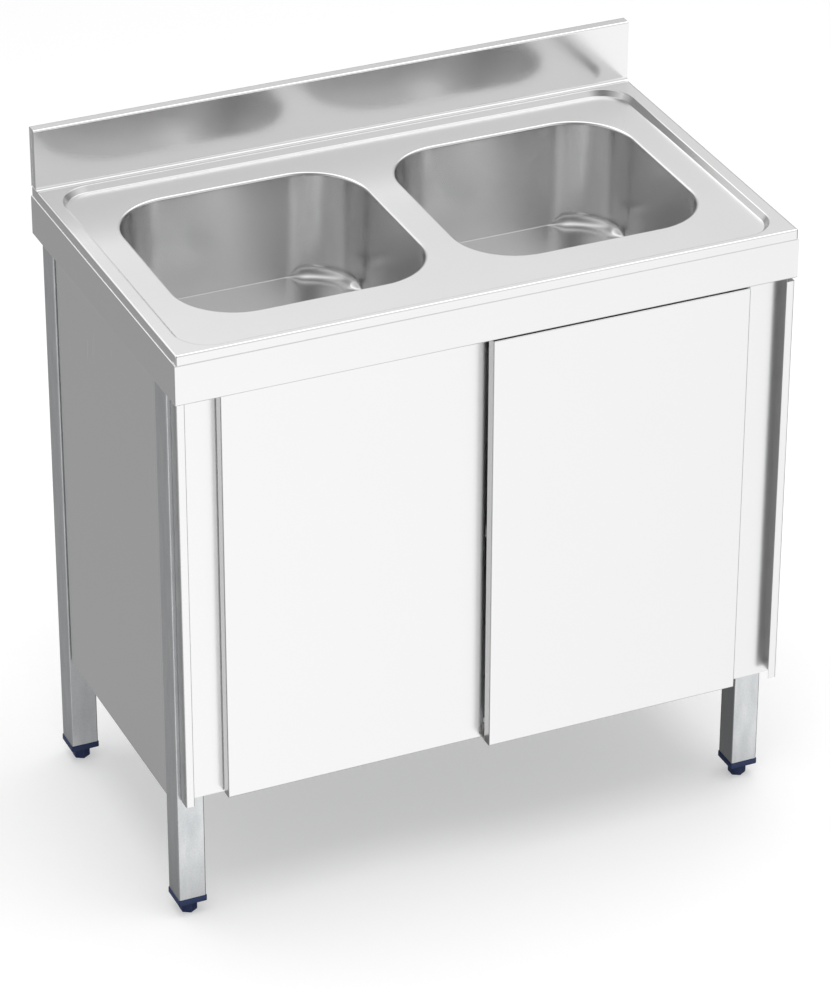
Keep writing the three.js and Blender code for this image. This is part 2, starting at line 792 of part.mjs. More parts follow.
function makeSidePanels() {
  const front = legFront + tubeSize + fit;
  const rear = legRear - tubeSize - panelRearSlot;
  const top = railBottom - fit;
  for (const [name, side] of [['left', -1], ['right', 1]]) {
    const panel = flangedTray(rear - front, top - panelBottom, panelFlange, panelSheet);
    panel.rotateZ((side * Math.PI) / 2);
    panel.translate(side * (legSide - panelRecess), (front + rear) / 2, (top + panelBottom) / 2);
    addPart(cabinet, `side_panel_${name}`, panel, brushedSteel);
  }
}

function makeRearPanel() {
  const halfSpan = legSide - tubeSize - fit;
  const top = railBottom - fit;
  const panel = flangedTray(2 * halfSpan, top - panelBottom, panelFlange, panelSheet).rotateZ(Math.PI);
  panel.translate(0, legRear, (top + panelBottom) / 2);
  const window = roundedShape(
    -serviceWidth / 2,
    serviceWidth / 2,
    serviceBottom,
    serviceBottom + serviceHeight,
    serviceCorner,
  );
  const opening = alongY(window, legRear - 2 * panelSheet, legRear + panelSheet);
  addPart(cabinet, 'rear_panel', cut(panel, opening), brushedSteel);
}

// The bottom shelf is notched round the legs, with beads pressed across it that are open underneath
function makeShelf() {
  const halfX = legSide - panelRecess - panelFlange - fit;
  const front = legFront + fit;
  const rear = legRear - panelFlange - fit;
  const tray = flangedTray(2 * halfX, rear - front, shelfDepth, shelfSheet).rotateX(-Math.PI / 2);
  tray.translate(0, (front + rear) / 2, shelfTop);
  const notches = [-1, 1].flatMap((side) => {
    const inner = legSide - tubeSize - fit;
    const [x0, x1] = side > 0 ? [inner, legSide] : [-legSide, -inner];
    const [z0, z1] = [doorBottom - toolPast, shelfTop + toolPast];
    return [
      block(x0, x1, legFront, legFront + tubeSize + fit, z0, z1),
      block(x0, x1, legRear - tubeSize - fit, legRear, z0, z1),
    ];
  });
  const beadEnd = halfX - tubeSize - beadMargin / 2;
  const bead = (y, grow, z0, z1) => {
    const half = beadWidth / 2 + grow;
    const outline = roundedShape(-beadEnd - grow, beadEnd + grow, y - half, y + half, half, coveSteps);
    return alongZ(outline, z0, z1);
  };
  const beadYs = Array.from({ length: shelfBeads }, (_, i) => {
    const run = rear - front - 2 * beadMargin;
    return front + beadMargin + (run * i) / Math.max(shelfBeads - 1, 1);
  });
  const beadFloor = shelfTop - beadDepth;
  const skins = beadYs.map((y) => bead(y, shelfSheet, beadFloor - shelfSheet, shelfTop - shelfSheet / 2));
  const hollows = beadYs.map((y) => bead(y, 0, beadFloor, shelfTop + toolPast));
  addPart(cabinet, 'bottom_shelf', cut(join(tray, ...skins), ...notches, ...hollows), zincSteel);
}

// Posts beside the doors: each a folded channel, its free edge turned towards the middle

function makePost(name, side, sideX, faceY) {
  const outer = side * sideX;
  const inner = doorMiddle + side * (doorEdge - postWebReach);
  const webBack = faceY + postDepth + postSheet;
  const free = outer - side * postFlange;
  const path = [at(free, faceY), at(outer, faceY), at(outer, webBack), at(inner, webBack)];
  const channel = foldedShape(side > 0 ? path : path.reverse(), postSheet);
  addPart(cabinet, name, alongZ(channel, doorBottom, postTop), brushedSteel);
}

function makePosts() {
  const leftFace = legFront - fit - postSheet - postDepth;
  makePost('post_left', -1, legSide - leftPostInset, leftFace);
  makePost('post_right', 1, legSide, leftFace - doorPitch);
  const spacerFront = legFront - doorPitch;
  const spacerDepth = doorPitch - fit;
  const section = [
    at(legSide - spacerWidth, spacerFront + spacerDepth),
    at(legSide - spacerWidth, spacerFront),
    at(legSide, spacerFront),
    at(legSide, spacerFront + spacerDepth),
  ];
  const spacer = alongZ(foldedShape(section, shelfSheet), doorBottom, postTop);
  addPart(cabinet, 'post_spacer', spacer, brushedSteel);
}

// Doors: a pressed outer shell with returned edges and a liner inside it. Each hangs on two rollers.

function makeDoor(name, left, faceY) {
  const height = doorTop - doorBottom;
  const middleX = left + doorWidth / 2;
  const middleZ = (doorTop + doorBottom) / 2;
  const right = left + doorWidth;
  const back = faceY + doorThick;
  const tray = flangedTray(doorWidth, height, doorThick, doorSheet, doorBend);
  tray.translate(middleX, faceY, middleZ);
  const rim = rectangle(left, right, doorBottom, doorTop);
  rim.holes.push(
    new THREE.Path([
      at(left + doorReturn, doorBottom + doorReturn),
      at(right - doorReturn, doorBottom + doorReturn),
      at(right - doorReturn, doorTop - doorReturn),
      at(left + doorReturn, doorTop - doorReturn),
    ]),
  );
  const returns = alongY(rim, back - doorSheet, back);
  const slotHalf = tongueThick / 2 + runningFit;
  const middleY = faceY + doorThick / 2;
  const [slotFront, slotBack] = [middleY - slotHalf, middleY + slotHalf];
  const [slotLeft, slotRight] = [left + doorSlotEnd, right - doorSlotEnd];
  const [slotStart, slotTop] = [doorBottom - toolPast, doorBottom + doorSlotEnd];
  const slot = block(slotLeft, slotRight, slotFront, slotBack, slotStart, slotTop);
  addPart(doors, `door_${name}_shell`, cut(join(tray, returns), slot), brushedSteel);

  const inset = doorSheet + fit;
  const linerHeight = height - 2 * inset - tongueHeight;
  const liner = flangedTray(doorWidth - 2 * inset, linerHeight, linerFlange, doorSheet).rotateZ(Math.PI);
  liner.translate(middleX, back - inset, middleZ + tongueHeight / 2);
  addPart(doors, `door_${name}_liner`, liner, brushedSteel);
}

// A hanger is a plate on the back of the door with the roller's pin fixed through its round head
function makeHanger(name, rollerX, faceY) {
  const plateFront = faceY + doorThick + fit;
  const plateBack = plateFront + hangerThick;
  const foot = doorTop - hangerGrip - rollerAxisZ;
  const half = hangerWidth / 2;
  const head = Array.from({ length: holeSides + 1 }, (_, i) => {
    const angle = (Math.PI * i) / holeSides;
    return at(hangerHead * Math.cos(angle), hangerHead * Math.sin(angle));
  });
  const shoulder = doorTop - rollerAxisZ;
  const outline = roundedPoints(-half, half, foot, shoulder, [hangerCorner, hangerCorner, 0, 0], bendSteps);
  const plan = new THREE.Shape([...outline.slice(0, -1), ...head, outline[outline.length - 1]]);
  for (const z of [foot + hangerGrip / 4, foot + (3 * hangerGrip) / 4]) {
    plan.holes.push(new THREE.Path(disc(0, z, hangerHole, holeSides).getPoints()));
  }
  const rollerY = faceY + rollerSetback + rollerWidth / 2;
  const rollerBack = rollerY + rollerWidth / 2 + fit;
  const rollerFront = rollerY - rollerWidth / 2 - fit;
  const pinEnd = rollerFront - hangerThick;
  const seat = plateFront + hangerThick / 2;
  const rod = (radius, y0, y1) => alongY(disc(0, 0, radius, pinSides), y0, y1);
  const pin = join(rod(pinRadius, pinEnd, seat), rod(pinHead, pinEnd, rollerFront));
  const hanger = join(alongY(plan, plateFront, plateBack), pin, rod(rollerCollar, rollerBack, seat));
  addPart(doors, `hanger_${name}`, hanger, zincSteel, [rollerX, 0, rollerAxisZ]);

  const bore = pinRadius + fit;
  const flank = rollerWidth / 2;
  const halfProfile = [
    at(bore, -flank),
    at(rollerRadius - rollerBevel, -flank),
    at(rollerRadius, rollerBevel - flank),
    at(rollerRadius, -trackSheet - rollerGroove * rollerGrooveSlope),
    at(rollerRadius - rollerGroove, -trackSheet),
  ];
  const profile = [...halfProfile, ...halfProfile.map((point) => at(point.x, -point.y)).reverse()];
  const roller = turned(profile, rollerSides).rotateX(-Math.PI / 2);
  addPart(doors, `roller_${name}`, roller, palePlastic, [rollerX, rollerY, rollerAxisZ]);
}

// The back of the lip that the rollers of a door run on, under the middle of their grooves
function lipY(faceY) {
  return faceY + rollerSetback + rollerWidth / 2 + trackSheet / 2;
}

// The door track is one folded sheet with the front rail on it, and a second rail welded under its head
function makeTrack() {
  const rail = (faceY) => [
    at(lipY(faceY), trackRunHeight),
    at(lipY(faceY), trackRunHeight - trackLip),
    at(lipY(faceY) - trackShelf, trackRunHeight - trackLip),
  ];
  const fixing = legFront - fit - trackSheet;
  const frontRail = [
    ...rail(frontDoorY),
    at(lipY(frontDoorY) - trackShelf, trackHead),
    at(fixing, trackHead),
    at(fixing, trackHead + trackFlange),
  ];
  const rearRail = [...rail(rearDoorY), at(lipY(rearDoorY) - trackShelf, trackHead)];
  const sections = [frontRail, rearRail].map((path) => foldedShape(path.reverse(), trackSheet));
  const [front, rear] = sections.map((section) => alongX(section, -legSide, legSide));
  addPart(doors, 'door_track', join(front, rear), zincSteel);
}

// Stops lie in the track just past the outer rollers of each door, closed and open
function makeStops(name, left, faceY, openWay) {
  const stopBack = lipY(faceY) - trackSheet - fit;
  const stopFront = lipY(faceY) - trackShelf + trackSheet + fit;
  const floor = trackRunHeight - trackLip + trackSheet + fit;
  const reach = rollerRadius + fit + stopLength / 2;
  const shift = openWay * doorTravel;
  const places = {
    low: left + rollerInset - reach + Math.min(shift, 0),
    high: left + doorWidth - rollerInset + reach + Math.max(shift, 0),
  };
  for (const [end, x] of Object.entries(places)) {
    const outline = roundedShape(-stopLength / 2, stopLength / 2, floor, floor + stopHeight, stopCorner);
    const stop = alongY(outline, stopFront, stopBack);
    addPart(doors, `track_stop_${name}_${end}`, stop, blackRubber, [x, 0, 0]);
  }
}

// A bracket on the shelf's front edge carries a tongue into the slot under each door. A tongue fills the
// part of the slot that stays over the middle from one end of the door's travel to the other.
function makeGuide() {
  const plateTop = doorBottom - runningFit;
  const plateBottom = plateTop - guideThick;
  const half = tongueThick / 2;
  const frontMiddle = frontDoorY + doorThick / 2;
  const rearMiddle = rearDoorY + doorThick / 2;
  const path = [
    at(rearMiddle - half, plateBottom),
    at(legFront, plateBottom),
    at(legFront, plateTop + guideRise),
  ];
  const [low, high] = [doorMiddle - guideLength / 2, doorMiddle + guideLength / 2];
  const bracket = alongX(foldedShape(path, guideThick), low, high);
  const near = doorSlotEnd + runningFit - doorOverlap / 2;
  const far = doorEdge - doorSlotEnd - runningFit - doorTravel;
  const tongueTop = doorBottom + tongueHeight;
  const tongue = (x0, x1, y) => block(x0, x1, y - half, y + half, plateBottom, tongueTop);
  const tongues = [
    tongue(doorMiddle - far, doorMiddle - near, rearMiddle),
    tongue(doorMiddle + near, doorMiddle + far, frontMiddle),
  ];
  const arm = block(doorMiddle, high, frontMiddle - half, rearMiddle, plateBottom, plateTop);
  addPart(doors, 'door_guide', join(bracket, arm, ...tongues), palePlastic);
}

const bowlCentres = { left: bowlMiddleX - bowlPitch / 2, right: bowlMiddleX + bowlPitch / 2 };
makeWorktop(Object.values(bowlCentres));
makeUpstandCaps();
makeStiffener(bowlMiddleX);
for (const [name, bowlX] of Object.entries(bowlCentres)) {
  makeBowl(`bowl_${name}`, bowlX);
  makeWaste(name, bowlX);
}

makeSkirt();
makeFrame().forEach(makeFoot);
makeSidePanels();
makeRearPanel();
makeShelf();
makePosts();

const doorPlans = [
  { name: 'left', left: doorMiddle - doorEdge, faceY: rearDoorY, openWay: 1 },
  { name: 'right', left: doorMiddle + doorEdge - doorWidth, faceY: frontDoorY, openWay: -1 },
];
for (const { name, left, faceY, openWay } of doorPlans) {
  makeDoor(name, left, faceY);
  makeHanger(`${name}_a`, left + rollerInset, faceY);
  makeHanger(`${name}_b`, left + doorWidth - rollerInset, faceY);
  makeStops(name, left, faceY, openWay);
}
makeTrack();
makeGuide();

export default unit;
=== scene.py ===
import json
import bpy
import bmesh
import numpy as np
from math import atan2, cos, pi, radians, sin
from mathutils import Matrix, Vector
from mathutils.geometry import tessellate_polygon


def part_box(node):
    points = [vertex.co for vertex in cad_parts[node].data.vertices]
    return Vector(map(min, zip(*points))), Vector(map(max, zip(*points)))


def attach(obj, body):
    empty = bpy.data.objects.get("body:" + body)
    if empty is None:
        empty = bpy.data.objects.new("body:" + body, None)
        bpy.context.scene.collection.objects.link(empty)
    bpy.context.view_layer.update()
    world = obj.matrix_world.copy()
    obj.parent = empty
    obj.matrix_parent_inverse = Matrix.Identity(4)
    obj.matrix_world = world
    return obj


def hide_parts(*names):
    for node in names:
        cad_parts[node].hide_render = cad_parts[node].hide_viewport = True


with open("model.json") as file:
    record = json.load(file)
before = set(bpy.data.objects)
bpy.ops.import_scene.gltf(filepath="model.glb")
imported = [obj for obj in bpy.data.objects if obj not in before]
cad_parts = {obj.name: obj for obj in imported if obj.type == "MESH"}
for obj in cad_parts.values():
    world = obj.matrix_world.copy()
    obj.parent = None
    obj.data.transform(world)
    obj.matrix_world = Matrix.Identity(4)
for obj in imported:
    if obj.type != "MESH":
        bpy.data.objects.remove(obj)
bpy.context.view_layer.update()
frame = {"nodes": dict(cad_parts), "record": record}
print("frame loaded:", len(frame["nodes"]), "nodes")

mm = 0.001
sides = {"left": -1, "right": 1}
rows = ("front", "rear")
scene = bpy.context.scene


# All shapes are worked out in millimetres and become metres in makePiece.

# A path moved to its left by a distance. Each corner is an arc about one centre for every distance, so
# point = centre + radius * (spoke turned by a share of the corner's angle), radius = given -/+ distance.
def parallelPath(corners, radii, shift, steps=8):
    corners = np.asarray(corners, float)
    ways = np.diff(corners, axis=0)
    ways /= np.linalg.norm(ways, axis=1)[:, None]
    normals = np.stack([-ways[:, 1], ways[:, 0]], axis=1)
    parts = [corners[:1] + shift * normals[:1]]
    for i in range(1, len(corners) - 1):
        (ax, ay), (bx, by) = ways[i - 1], ways[i]
        turn = atan2(ax * by - ay * bx, ax * bx + ay * by)
        side = np.sign(turn)
        start = atan2(normals[i - 1, 1], normals[i - 1, 0])
        middle = np.array([cos(start + turn / 2), sin(start + turn / 2)])
        centre = corners[i] + middle * side * radii[i] / cos(turn / 2)
        angles = start + turn * np.linspace(0, 1, steps + 1)
        spokes = np.stack([np.cos(angles), np.sin(angles)], axis=1)
        parts.append(centre - side * (radii[i] - side * shift) * spokes)
    parts.append(corners[-1:] + shift * normals[-1:])
    return np.concatenate(parts)


# A path with extra points close to both ends of its long stretches, so that smooth shading turns only
# in the bends: each long stretch from a to b gains a + edge * way and b - edge * way.
def heldPath(path, edge=0.4):
    steps = np.diff(path, axis=0)
    lengths = np.maximum(np.linalg.norm(steps, axis=1, keepdims=True), 1e-9)
    inward = edge * steps / lengths
    points = np.stack([path[:-1], path[:-1] + inward, path[1:] - inward], axis=1)
    isLong = lengths > 4 * edge
    kept = np.concatenate([np.ones_like(isLong), isLong, isLong], axis=1)
    return np.concatenate([points[kept], path[-1:]])


# The closed outline of a sheet folded along a path: the path, then the same path at the sheet's thickness
# back again. Inside radii are given, and the outside of each bend is wider by the sheet.
def foldedOutline(corners, sheet, bend):
    corners = np.asarray(corners, float)
    ways = np.diff(corners, axis=0)
    turns = ways[:-1, 0] * ways[1:, 1] - ways[:-1, 1] * ways[1:, 0]
    radii = np.concatenate([[0], np.where(turns > 0, bend + sheet, bend), [0]])
    near, far = (heldPath(parallelPath(corners, radii, shift)) for shift in (0, sheet))
    return np.concatenate([near, far[::-1]])


# A closed profile whose corners, given as (x, y, radius), are each cut by an arc of their own radius
def roundedProfile(corners, steps=5):
    corners = np.array(corners, float)
    closed = np.concatenate([corners[-1:], corners, corners[:1]])
    threes = (closed[i:i + 3] for i in range(len(corners)))
    return np.concatenate([parallelPath(three[:, :2], three[:, 2], 0, steps)[1:-1] for three in threes])


# A rounded rectangle, anticlockwise from its lower left corner: four quarter circles, each with a point
# just before and just after it on the straight sides.
def roundedLoop(x0, x1, y0, y1, radius, steps=16, edge=1.5):
    centres = np.array([[x0 + radius, y0 + radius], [x1 - radius, y0 + radius],
                        [x1 - radius, y1 - radius], [x0 + radius, y1 - radius]])
    starts = np.array([pi, 1.5 * pi, 0, 0.5 * pi])
    angles = starts[:, None] + 0.5 * pi * np.linspace(0, 1, steps + 1)[None, :]
    arcs = centres[:, None, :] + radius * np.stack([np.cos(angles), np.sin(angles)], axis=2)
    along = np.stack([-np.sin(starts), np.cos(starts)], axis=1)
    after = np.stack([-np.sin(starts + pi / 2), np.cos(starts + pi / 2)], axis=1)
    before = arcs[:, :1] - edge * along[:, None, :]
    behind = arcs[:, -1:] + edge * after[:, None, :]
    return np.concatenate([before, arcs, behind], axis=1).reshape(-1, 2)


# A circle with the same number of points as a rounded loop, evenly spaced and begun at the same corner
def circleLoop(x, y, radius, count):
    angles = pi + 2 * pi * (np.arange(count) + 0.5) / count
    return np.stack([x + radius * np.cos(angles), y + radius * np.sin(angles)], axis=1)


# A flat loop raised to one height: (x, y) becomes (x, y, z)
def lifted(loop, z):
    return np.column_stack([loop, np.full(len(loop), z)])


# Quads between each ring and the next: corner (r, i) of the grid is point r * count + i
def ringQuads(rings, count, around=False):
    r = np.arange(rings if around else rings - 1)
    i = np.arange(count)
    here = (r * count)[:, None]
    there = (((r + 1) % rings) * count)[:, None]
    j = (i + 1) % count
    return np.stack([here + i, here + j, there + j, there + i], axis=2).reshape(-1, 4)


# A stack of closed rings, with a flat face over the first and the last
def stackedRings(rings):
    count = len(rings[0])
    faces = ringQuads(len(rings), count).tolist()
    last = (len(rings) - 1) * count
    return np.concatenate(rings), faces + [list(range(count)), list(range(last, last + count))]


# Rings that follow each other round into the first, as on a tube with a wall
def hollowRings(rings):
    return np.concatenate(rings), ringQuads(len(rings), len(rings[0]), around=True).tolist()


# A closed outline in one plane, carried along the axis square to it
def pushed(outline, axis, start, end, ends=0.4):
    places = np.array([start, start + ends, end - ends, end])
    flat = np.tile(outline, (len(places), 1))
    run = np.repeat(places, len(outline))
    columns = {"x": (run, flat[:, 0], flat[:, 1]), "y": (flat[:, 0], run, flat[:, 1]),
               "z": (flat[:, 0], flat[:, 1], run)}
    return stackedRings(np.column_stack(columns[axis]).reshape(len(places), -1, 3))


# The rings of a sheet tray that faces -Y and is centred on the Y axis. They follow the section of one edge,
# which runs out over the face, round the bend and back along the return (and in again, if the return has a
# lip); each ring is a rectangle inset by the section's first value, at the depth of its second. The given
# depths add a ring each to the long stretch of the return.
def traySkin(width, height, section, sheet, bend, depths=()):
    radii = [0] + [bend + sheet] * (len(section) - 2) + [0]
    skins = []
    for shift in (0, -sheet):
        path = heldPath(parallelPath(section, radii, shift, steps=5), edge=0.3)
        if depths:
            back = int(np.argmax(np.diff(path[:, 1])))
            path = np.insert(path, back + 1, [(path[back, 0], depth) for depth in depths], axis=0)
        loops = [roundedLoop(s - width / 2, width / 2 - s, s - height / 2, height / 2 - s, 0.3, steps=2)
                 for s in path[:, 0]]
        skins.append([np.column_stack([loop[:, 0], np.full(len(loop), y), loop[:, 1]])
                      for loop, y in zip(loops, path[:, 1])])
    return skins[0] + skins[1][::-1]


# The plain section of a tray's edge: over the face and back along the return
def trayEdge(depth, faceRun=6):
    return [(faceRun, 0), (0, 0), (0, depth)]


# The closed mesh of a plain tray: its rings, and a flat face over the first and the last
def traySheet(width, height, depth, sheet, bend=1):
    return stackedRings(traySkin(width, height, trayEdge(depth), sheet, bend))


# Rings of a sheet whose first and last are closed by flat faces with the same holes in both, and a wall
# round each hole: its quad i joins the points i and i + 1 of the hole's two copies
def pierced(rings, holes, axis, places):
    count = len(rings[0])
    verts = [np.concatenate(rings)]
    faces = ringQuads(len(rings), count).tolist()
    total = len(rings) * count
    starts = {}
    for place in places:
        for k, hole in enumerate(holes):
            columns = [hole[:, 0], hole[:, 1]]
            columns.insert("xyz".index(axis), np.full(len(hole), place))
            starts[place, k] = total
            verts.append(np.column_stack(columns))
            total += len(hole)
    verts = np.concatenate(verts)
    for place, ringStart in zip(places, (0, (len(rings) - 1) * count)):
        spans = [(ringStart, count)] + [(starts[place, k], len(hole)) for k, hole in enumerate(holes)]
        index = np.concatenate([np.arange(start, start + size) for start, size in spans])
        loops = [verts[start:start + size].tolist() for start, size in spans]
        faces += index[np.array(tessellate_polygon(loops))].tolist()
    for k, hole in enumerate(holes):
        i = np.arange(len(hole))
        j = (i + 1) % len(hole)
        a, b = (starts[place, k] for place in places)
        faces += np.stack([a + i, a + j, b + j, b + i], axis=1).tolist()
    return verts, faces


# A profile of radii and heights turned about Z: point = (r cos a, r sin a, z) for each angle a
def turnedProfile(profile, around=96):
    profile = np.asarray(profile, float)
    angles = 2 * pi * np.arange(around) / around
    x = profile[:, 0][:, None] * np.cos(angles)
    y = profile[:, 0][:, None] * np.sin(angles)
    z = np.broadcast_to(profile[:, 1][:, None], x.shape)
    return np.stack([x, y, z], axis=2).reshape(-1, 3), ringQuads(len(profile), around, around=True).tolist()


# Puts a shape into a mesh, welds its doubles, turns its faces outwards and hands it to the frame. Edges
# between faces that turn by more than the sharp angle show as creases.
def makePiece(name, shape, material, body, nodes, place=(0, 0, 0), sharp=radians(38)):
    verts, faces = shape
    mesh = bpy.data.meshes.new(name)
    mesh.from_pydata((np.asarray(verts) + np.asarray(place)) * mm, [], faces)
    loose = bmesh.new()
    loose.from_mesh(mesh)
    bmesh.ops.remove_doubles(loose, verts=loose.verts, dist=0.002 * mm)
    bmesh.ops.recalc_face_normals(loose, faces=loose.faces)
    loose.to_mesh(mesh)
    loose.free()
    mesh.shade_smooth()
    mesh.set_sharp_from_angle(angle=sharp)
    mesh.materials.append(material)
    piece = bpy.data.objects.new(name, mesh)
    scene.collection.objects.link(piece)
    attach(piece, body)
    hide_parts(*nodes)
    return piece


# The low and high corners of a solid's box, in mm
def boxOf(node):
    return [np.array(corner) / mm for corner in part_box(node)]


# The middle of a solid's box: half of the sum of its corners
def middleOf(node):
    return sum(boxOf(node)) / 2


# An sRGB hex colour as linear red, green, blue and alpha
def linear(hexColour):
    shares = np.array([int(hexColour[i:i + 2], 16) for i in (1, 3, 5)]) / 255
    return (*np.where(shares <= 0.04045, shares / 12.92, ((shares + 0.055) / 1.055) ** 2.4), 1.0)


# A node with its settings (sockets by name or number, or properties) and the outputs that feed it
def addNode(tree, kind, settings=(), links=()):
    node = tree.nodes.new(kind)
    for key, value in dict(settings).items():
        if isinstance(key, int) or key in node.inputs:
            node.inputs[key].default_value = value
        else:
            setattr(node, key, value)
    for key, source in dict(links).items():
        tree.links.new(source, node.inputs[key])
    return node


# A material with an empty node tree
def newMaterial(name):
    material = bpy.data.materials.new(name)
    material.use_nodes = True
    material.node_tree.nodes.clear()
    return material, material.node_tree


# How every finish ends: one pattern moves the colour and the roughness between their two values, the
# roughness over the given span of the pattern, and another gives the bump, with its depth in mm
def addSurface(tree, pattern, colours, roughness, relief, bump, span=(0.0, 1.0), metallic=1.0):
    colour, shade = (linear(c) for c in colours)
    strength, depth = bump
    tint = addNode(tree, "ShaderNodeMix", {"data_type": "RGBA", 6: shade, 7: colour}, {0: pattern})
    rough = addNode(tree, "ShaderNodeMapRange", {"From Min": span[0], "From Max": span[1],
                                                 "To Min": roughness[0], "To Max": roughness[1]},
                    {"Value": pattern})
    raised = addNode(tree, "ShaderNodeBump", {"Strength": strength, "Distance": depth * mm},
                     {"Height": relief})
    shader = addNode(tree, "ShaderNodeBsdfPrincipled", {"Metallic": metallic},
                     {"Base Color": tint.outputs[2], "Roughness": rough.outputs["Result"],
                      "Normal": raised.outputs["Normal"]})
    addNode(tree, "ShaderNodeOutputMaterial", {}, {"Surface": shader.outputs["BSDF"]})


# Stainless sheet ground with a belt: fine lines along the grain that the eye sees as a silky, slightly
# streaked reflection. Real lines are 0.05 mm apart; here they are as coarse as lineGap so that they show.
def brushedStainless(name, colours, grain, roughness, spread=0.015, lineGap=0.7, lineLength=90,
                     cloudSize=111):
    material, tree = newMaterial(name)
    coords = addNode(tree, "ShaderNodeTexCoord").outputs["Object"]
    across, along = 1 / (lineGap * mm), 1 / (lineLength * mm)
    scale = tuple(along if axis == grain else across for axis in "xyz")
    place = addNode(tree, "ShaderNodeMapping", {"Scale": scale}, {"Vector": coords})
    lines = addNode(tree, "ShaderNodeTexNoise", {"Scale": 1.0, "Detail": 3.0, "Roughness": 0.6},
                    {"Vector": place.outputs["Vector"]})
    cloud = addNode(tree, "ShaderNodeTexNoise", {"Scale": 1 / (cloudSize * mm), "Detail": 2.0},
                    {"Vector": coords})
    both = addNode(tree, "ShaderNodeMix", {"data_type": "FLOAT", 0: 0.35},
                   {2: lines.outputs["Fac"], 3: cloud.outputs["Fac"]})
    addSurface(tree, both.outputs[0], colours, (roughness - spread, roughness + spread),
               lines.outputs["Fac"], (0.006, 0.2), span=(0.3, 0.7))
    return material


# Metal with a satin skin and no straight grain: drawn in a die, plated or polished. A slow cloud moves its
# tone by almost nothing, and a fine grit keeps the reflections soft.
def satinMetal(name, colours, roughness, spread=0.006, cloudSize=40, gritSize=1.2):
    material, tree = newMaterial(name)
    coords = addNode(tree, "ShaderNodeTexCoord").outputs["Object"]
    skin = addNode(tree, "ShaderNodeTexNoise", {"Scale": 1 / (cloudSize * mm), "Detail": 3.0},
                   {"Vector": coords})
    grit = addNode(tree, "ShaderNodeTexNoise", {"Scale": 1 / (gritSize * mm), "Detail": 2.0},
                   {"Vector": coords})
    addSurface(tree, skin.outputs["Fac"], colours, (roughness - spread, roughness + spread),
               grit.outputs["Fac"], (0.03, 0.3))
    return material


# Welded tube as it comes from the mill: a dull, faintly blotched skin with specks, greyer than the sheet
def millTube(name, colours, roughness, spread=0.06, speckSize=2.2, blotchWidth=14, blotchLength=60):
    material, tree = newMaterial(name)
    coords = addNode(tree, "ShaderNodeTexCoord").outputs["Object"]
    specks = addNode(tree, "ShaderNodeTexNoise",
                     {"Scale": 1 / (speckSize * mm), "Detail": 4.0, "Roughness": 0.7}, {"Vector": coords})
    across, along = 1 / (blotchWidth * mm), 1 / (blotchLength * mm)
    stretch = addNode(tree, "ShaderNodeMapping", {"Scale": (across, across, along)}, {"Vector": coords})
    blotch = addNode(tree, "ShaderNodeTexNoise", {"Scale": 1.0, "Detail": 3.0},
                     {"Vector": stretch.outputs["Vector"]})
    both = addNode(tree, "ShaderNodeMix", {"data_type": "FLOAT", 0: 0.5},
                   {2: specks.outputs["Fac"], 3: blotch.outputs["Fac"]})
    clearer = addNode(tree, "ShaderNodeMapRange", {"From Min": 0.35, "From Max": 0.65},
                      {"Value": both.outputs[0]})
    addSurface(tree, clearer.outputs["Result"], colours, (roughness + spread, roughness - spread),
               specks.outputs["Fac"], (0.05, 0.3))
    return material


# Plastic or rubber from a mould: an even colour with a faint eroded texture that breaks the gloss
def moulded(name, colours, roughness, gritSize, spread=0.08):
    material, tree = newMaterial(name)
    coords = addNode(tree, "ShaderNodeTexCoord").outputs["Object"]
    grain = addNode(tree, "ShaderNodeTexNoise", {"Scale": 1 / (gritSize * mm), "Detail": 3.0},
                    {"Vector": coords})
    addSurface(tree, grain.outputs["Fac"], colours, (roughness - spread, roughness + spread),
               grain.outputs["Fac"], (0.12, 0.2), metallic=0.0)
    return material


# Sheet ground along its length: smoother where it mirrors the bowls, and rougher on the post's sides
deckSteel = brushedStainless("belt ground stainless deck", ("#f2f2f2", "#ebebeb"), "x", 0.23)
standSteel = brushedStainless("belt ground stainless upstand", ("#f2f2f2", "#ebebeb"), "x", 0.18)
doorSteel = brushedStainless("belt ground stainless upright", ("#f4f4f4", "#eeeeee"), "z", 0.26)
# Painted shade: the post's sides get this darker colour than the face steel, so that they look shaded
shadedSideSteel = brushedStainless("belt ground stainless fold", ("#c6c6c6", "#bdbdbd"), "z", 0.30)
# Drawn bowls are soft and even, zinc is dull and bluish, and a polished waste is close to a mirror
bowlSteel = satinMetal("deep drawn stainless", ("#e5e5e5", "#e2e2e2"), 0.23)
zincSteel = satinMetal("zinc plated steel", ("#b8bcc0", "#a8adb1"), 0.42)
brightSteel = satinMetal("polished stainless waste", ("#dcdcdd", "#d4d5d6"), 0.14)
tubeSteel = millTube("mill finish stainless tube", ("#e0e2e3", "#ced1d3"), 0.34)
# Nylon has a low gloss, acetal looks waxy and rubber is matt
navyNylon = moulded("moulded navy polyamide", ("#1f3565", "#182a54"), 0.42, 0.8)
paleAcetal = moulded("moulded pale acetal", ("#e3e3dd", "#dadad3"), 0.4, 0.9)
blackRubber = moulded("moulded black rubber", ("#2a2b2e", "#222326"), 0.7, 0.9)
print("materials made")

# Every solid gets the finish of its slot, and those that no piece replaces show it
slotFinish = {"steel_sheet": doorSteel, "steel_pressed": bowlSteel, "steel_tube": tubeSteel,
              "steel_zinc": zincSteel, "steel_bright": brightSteel, "plastic_navy": navyNylon,
              "plastic_pale": paleAcetal, "rubber_black": blackRubber}
for part in frame["record"]["subparts"]:
    solid = frame["nodes"][part["node"]]
    solid.data.materials.clear()
    solid.data.materials.append(slotFinish[part["material_slot"]])

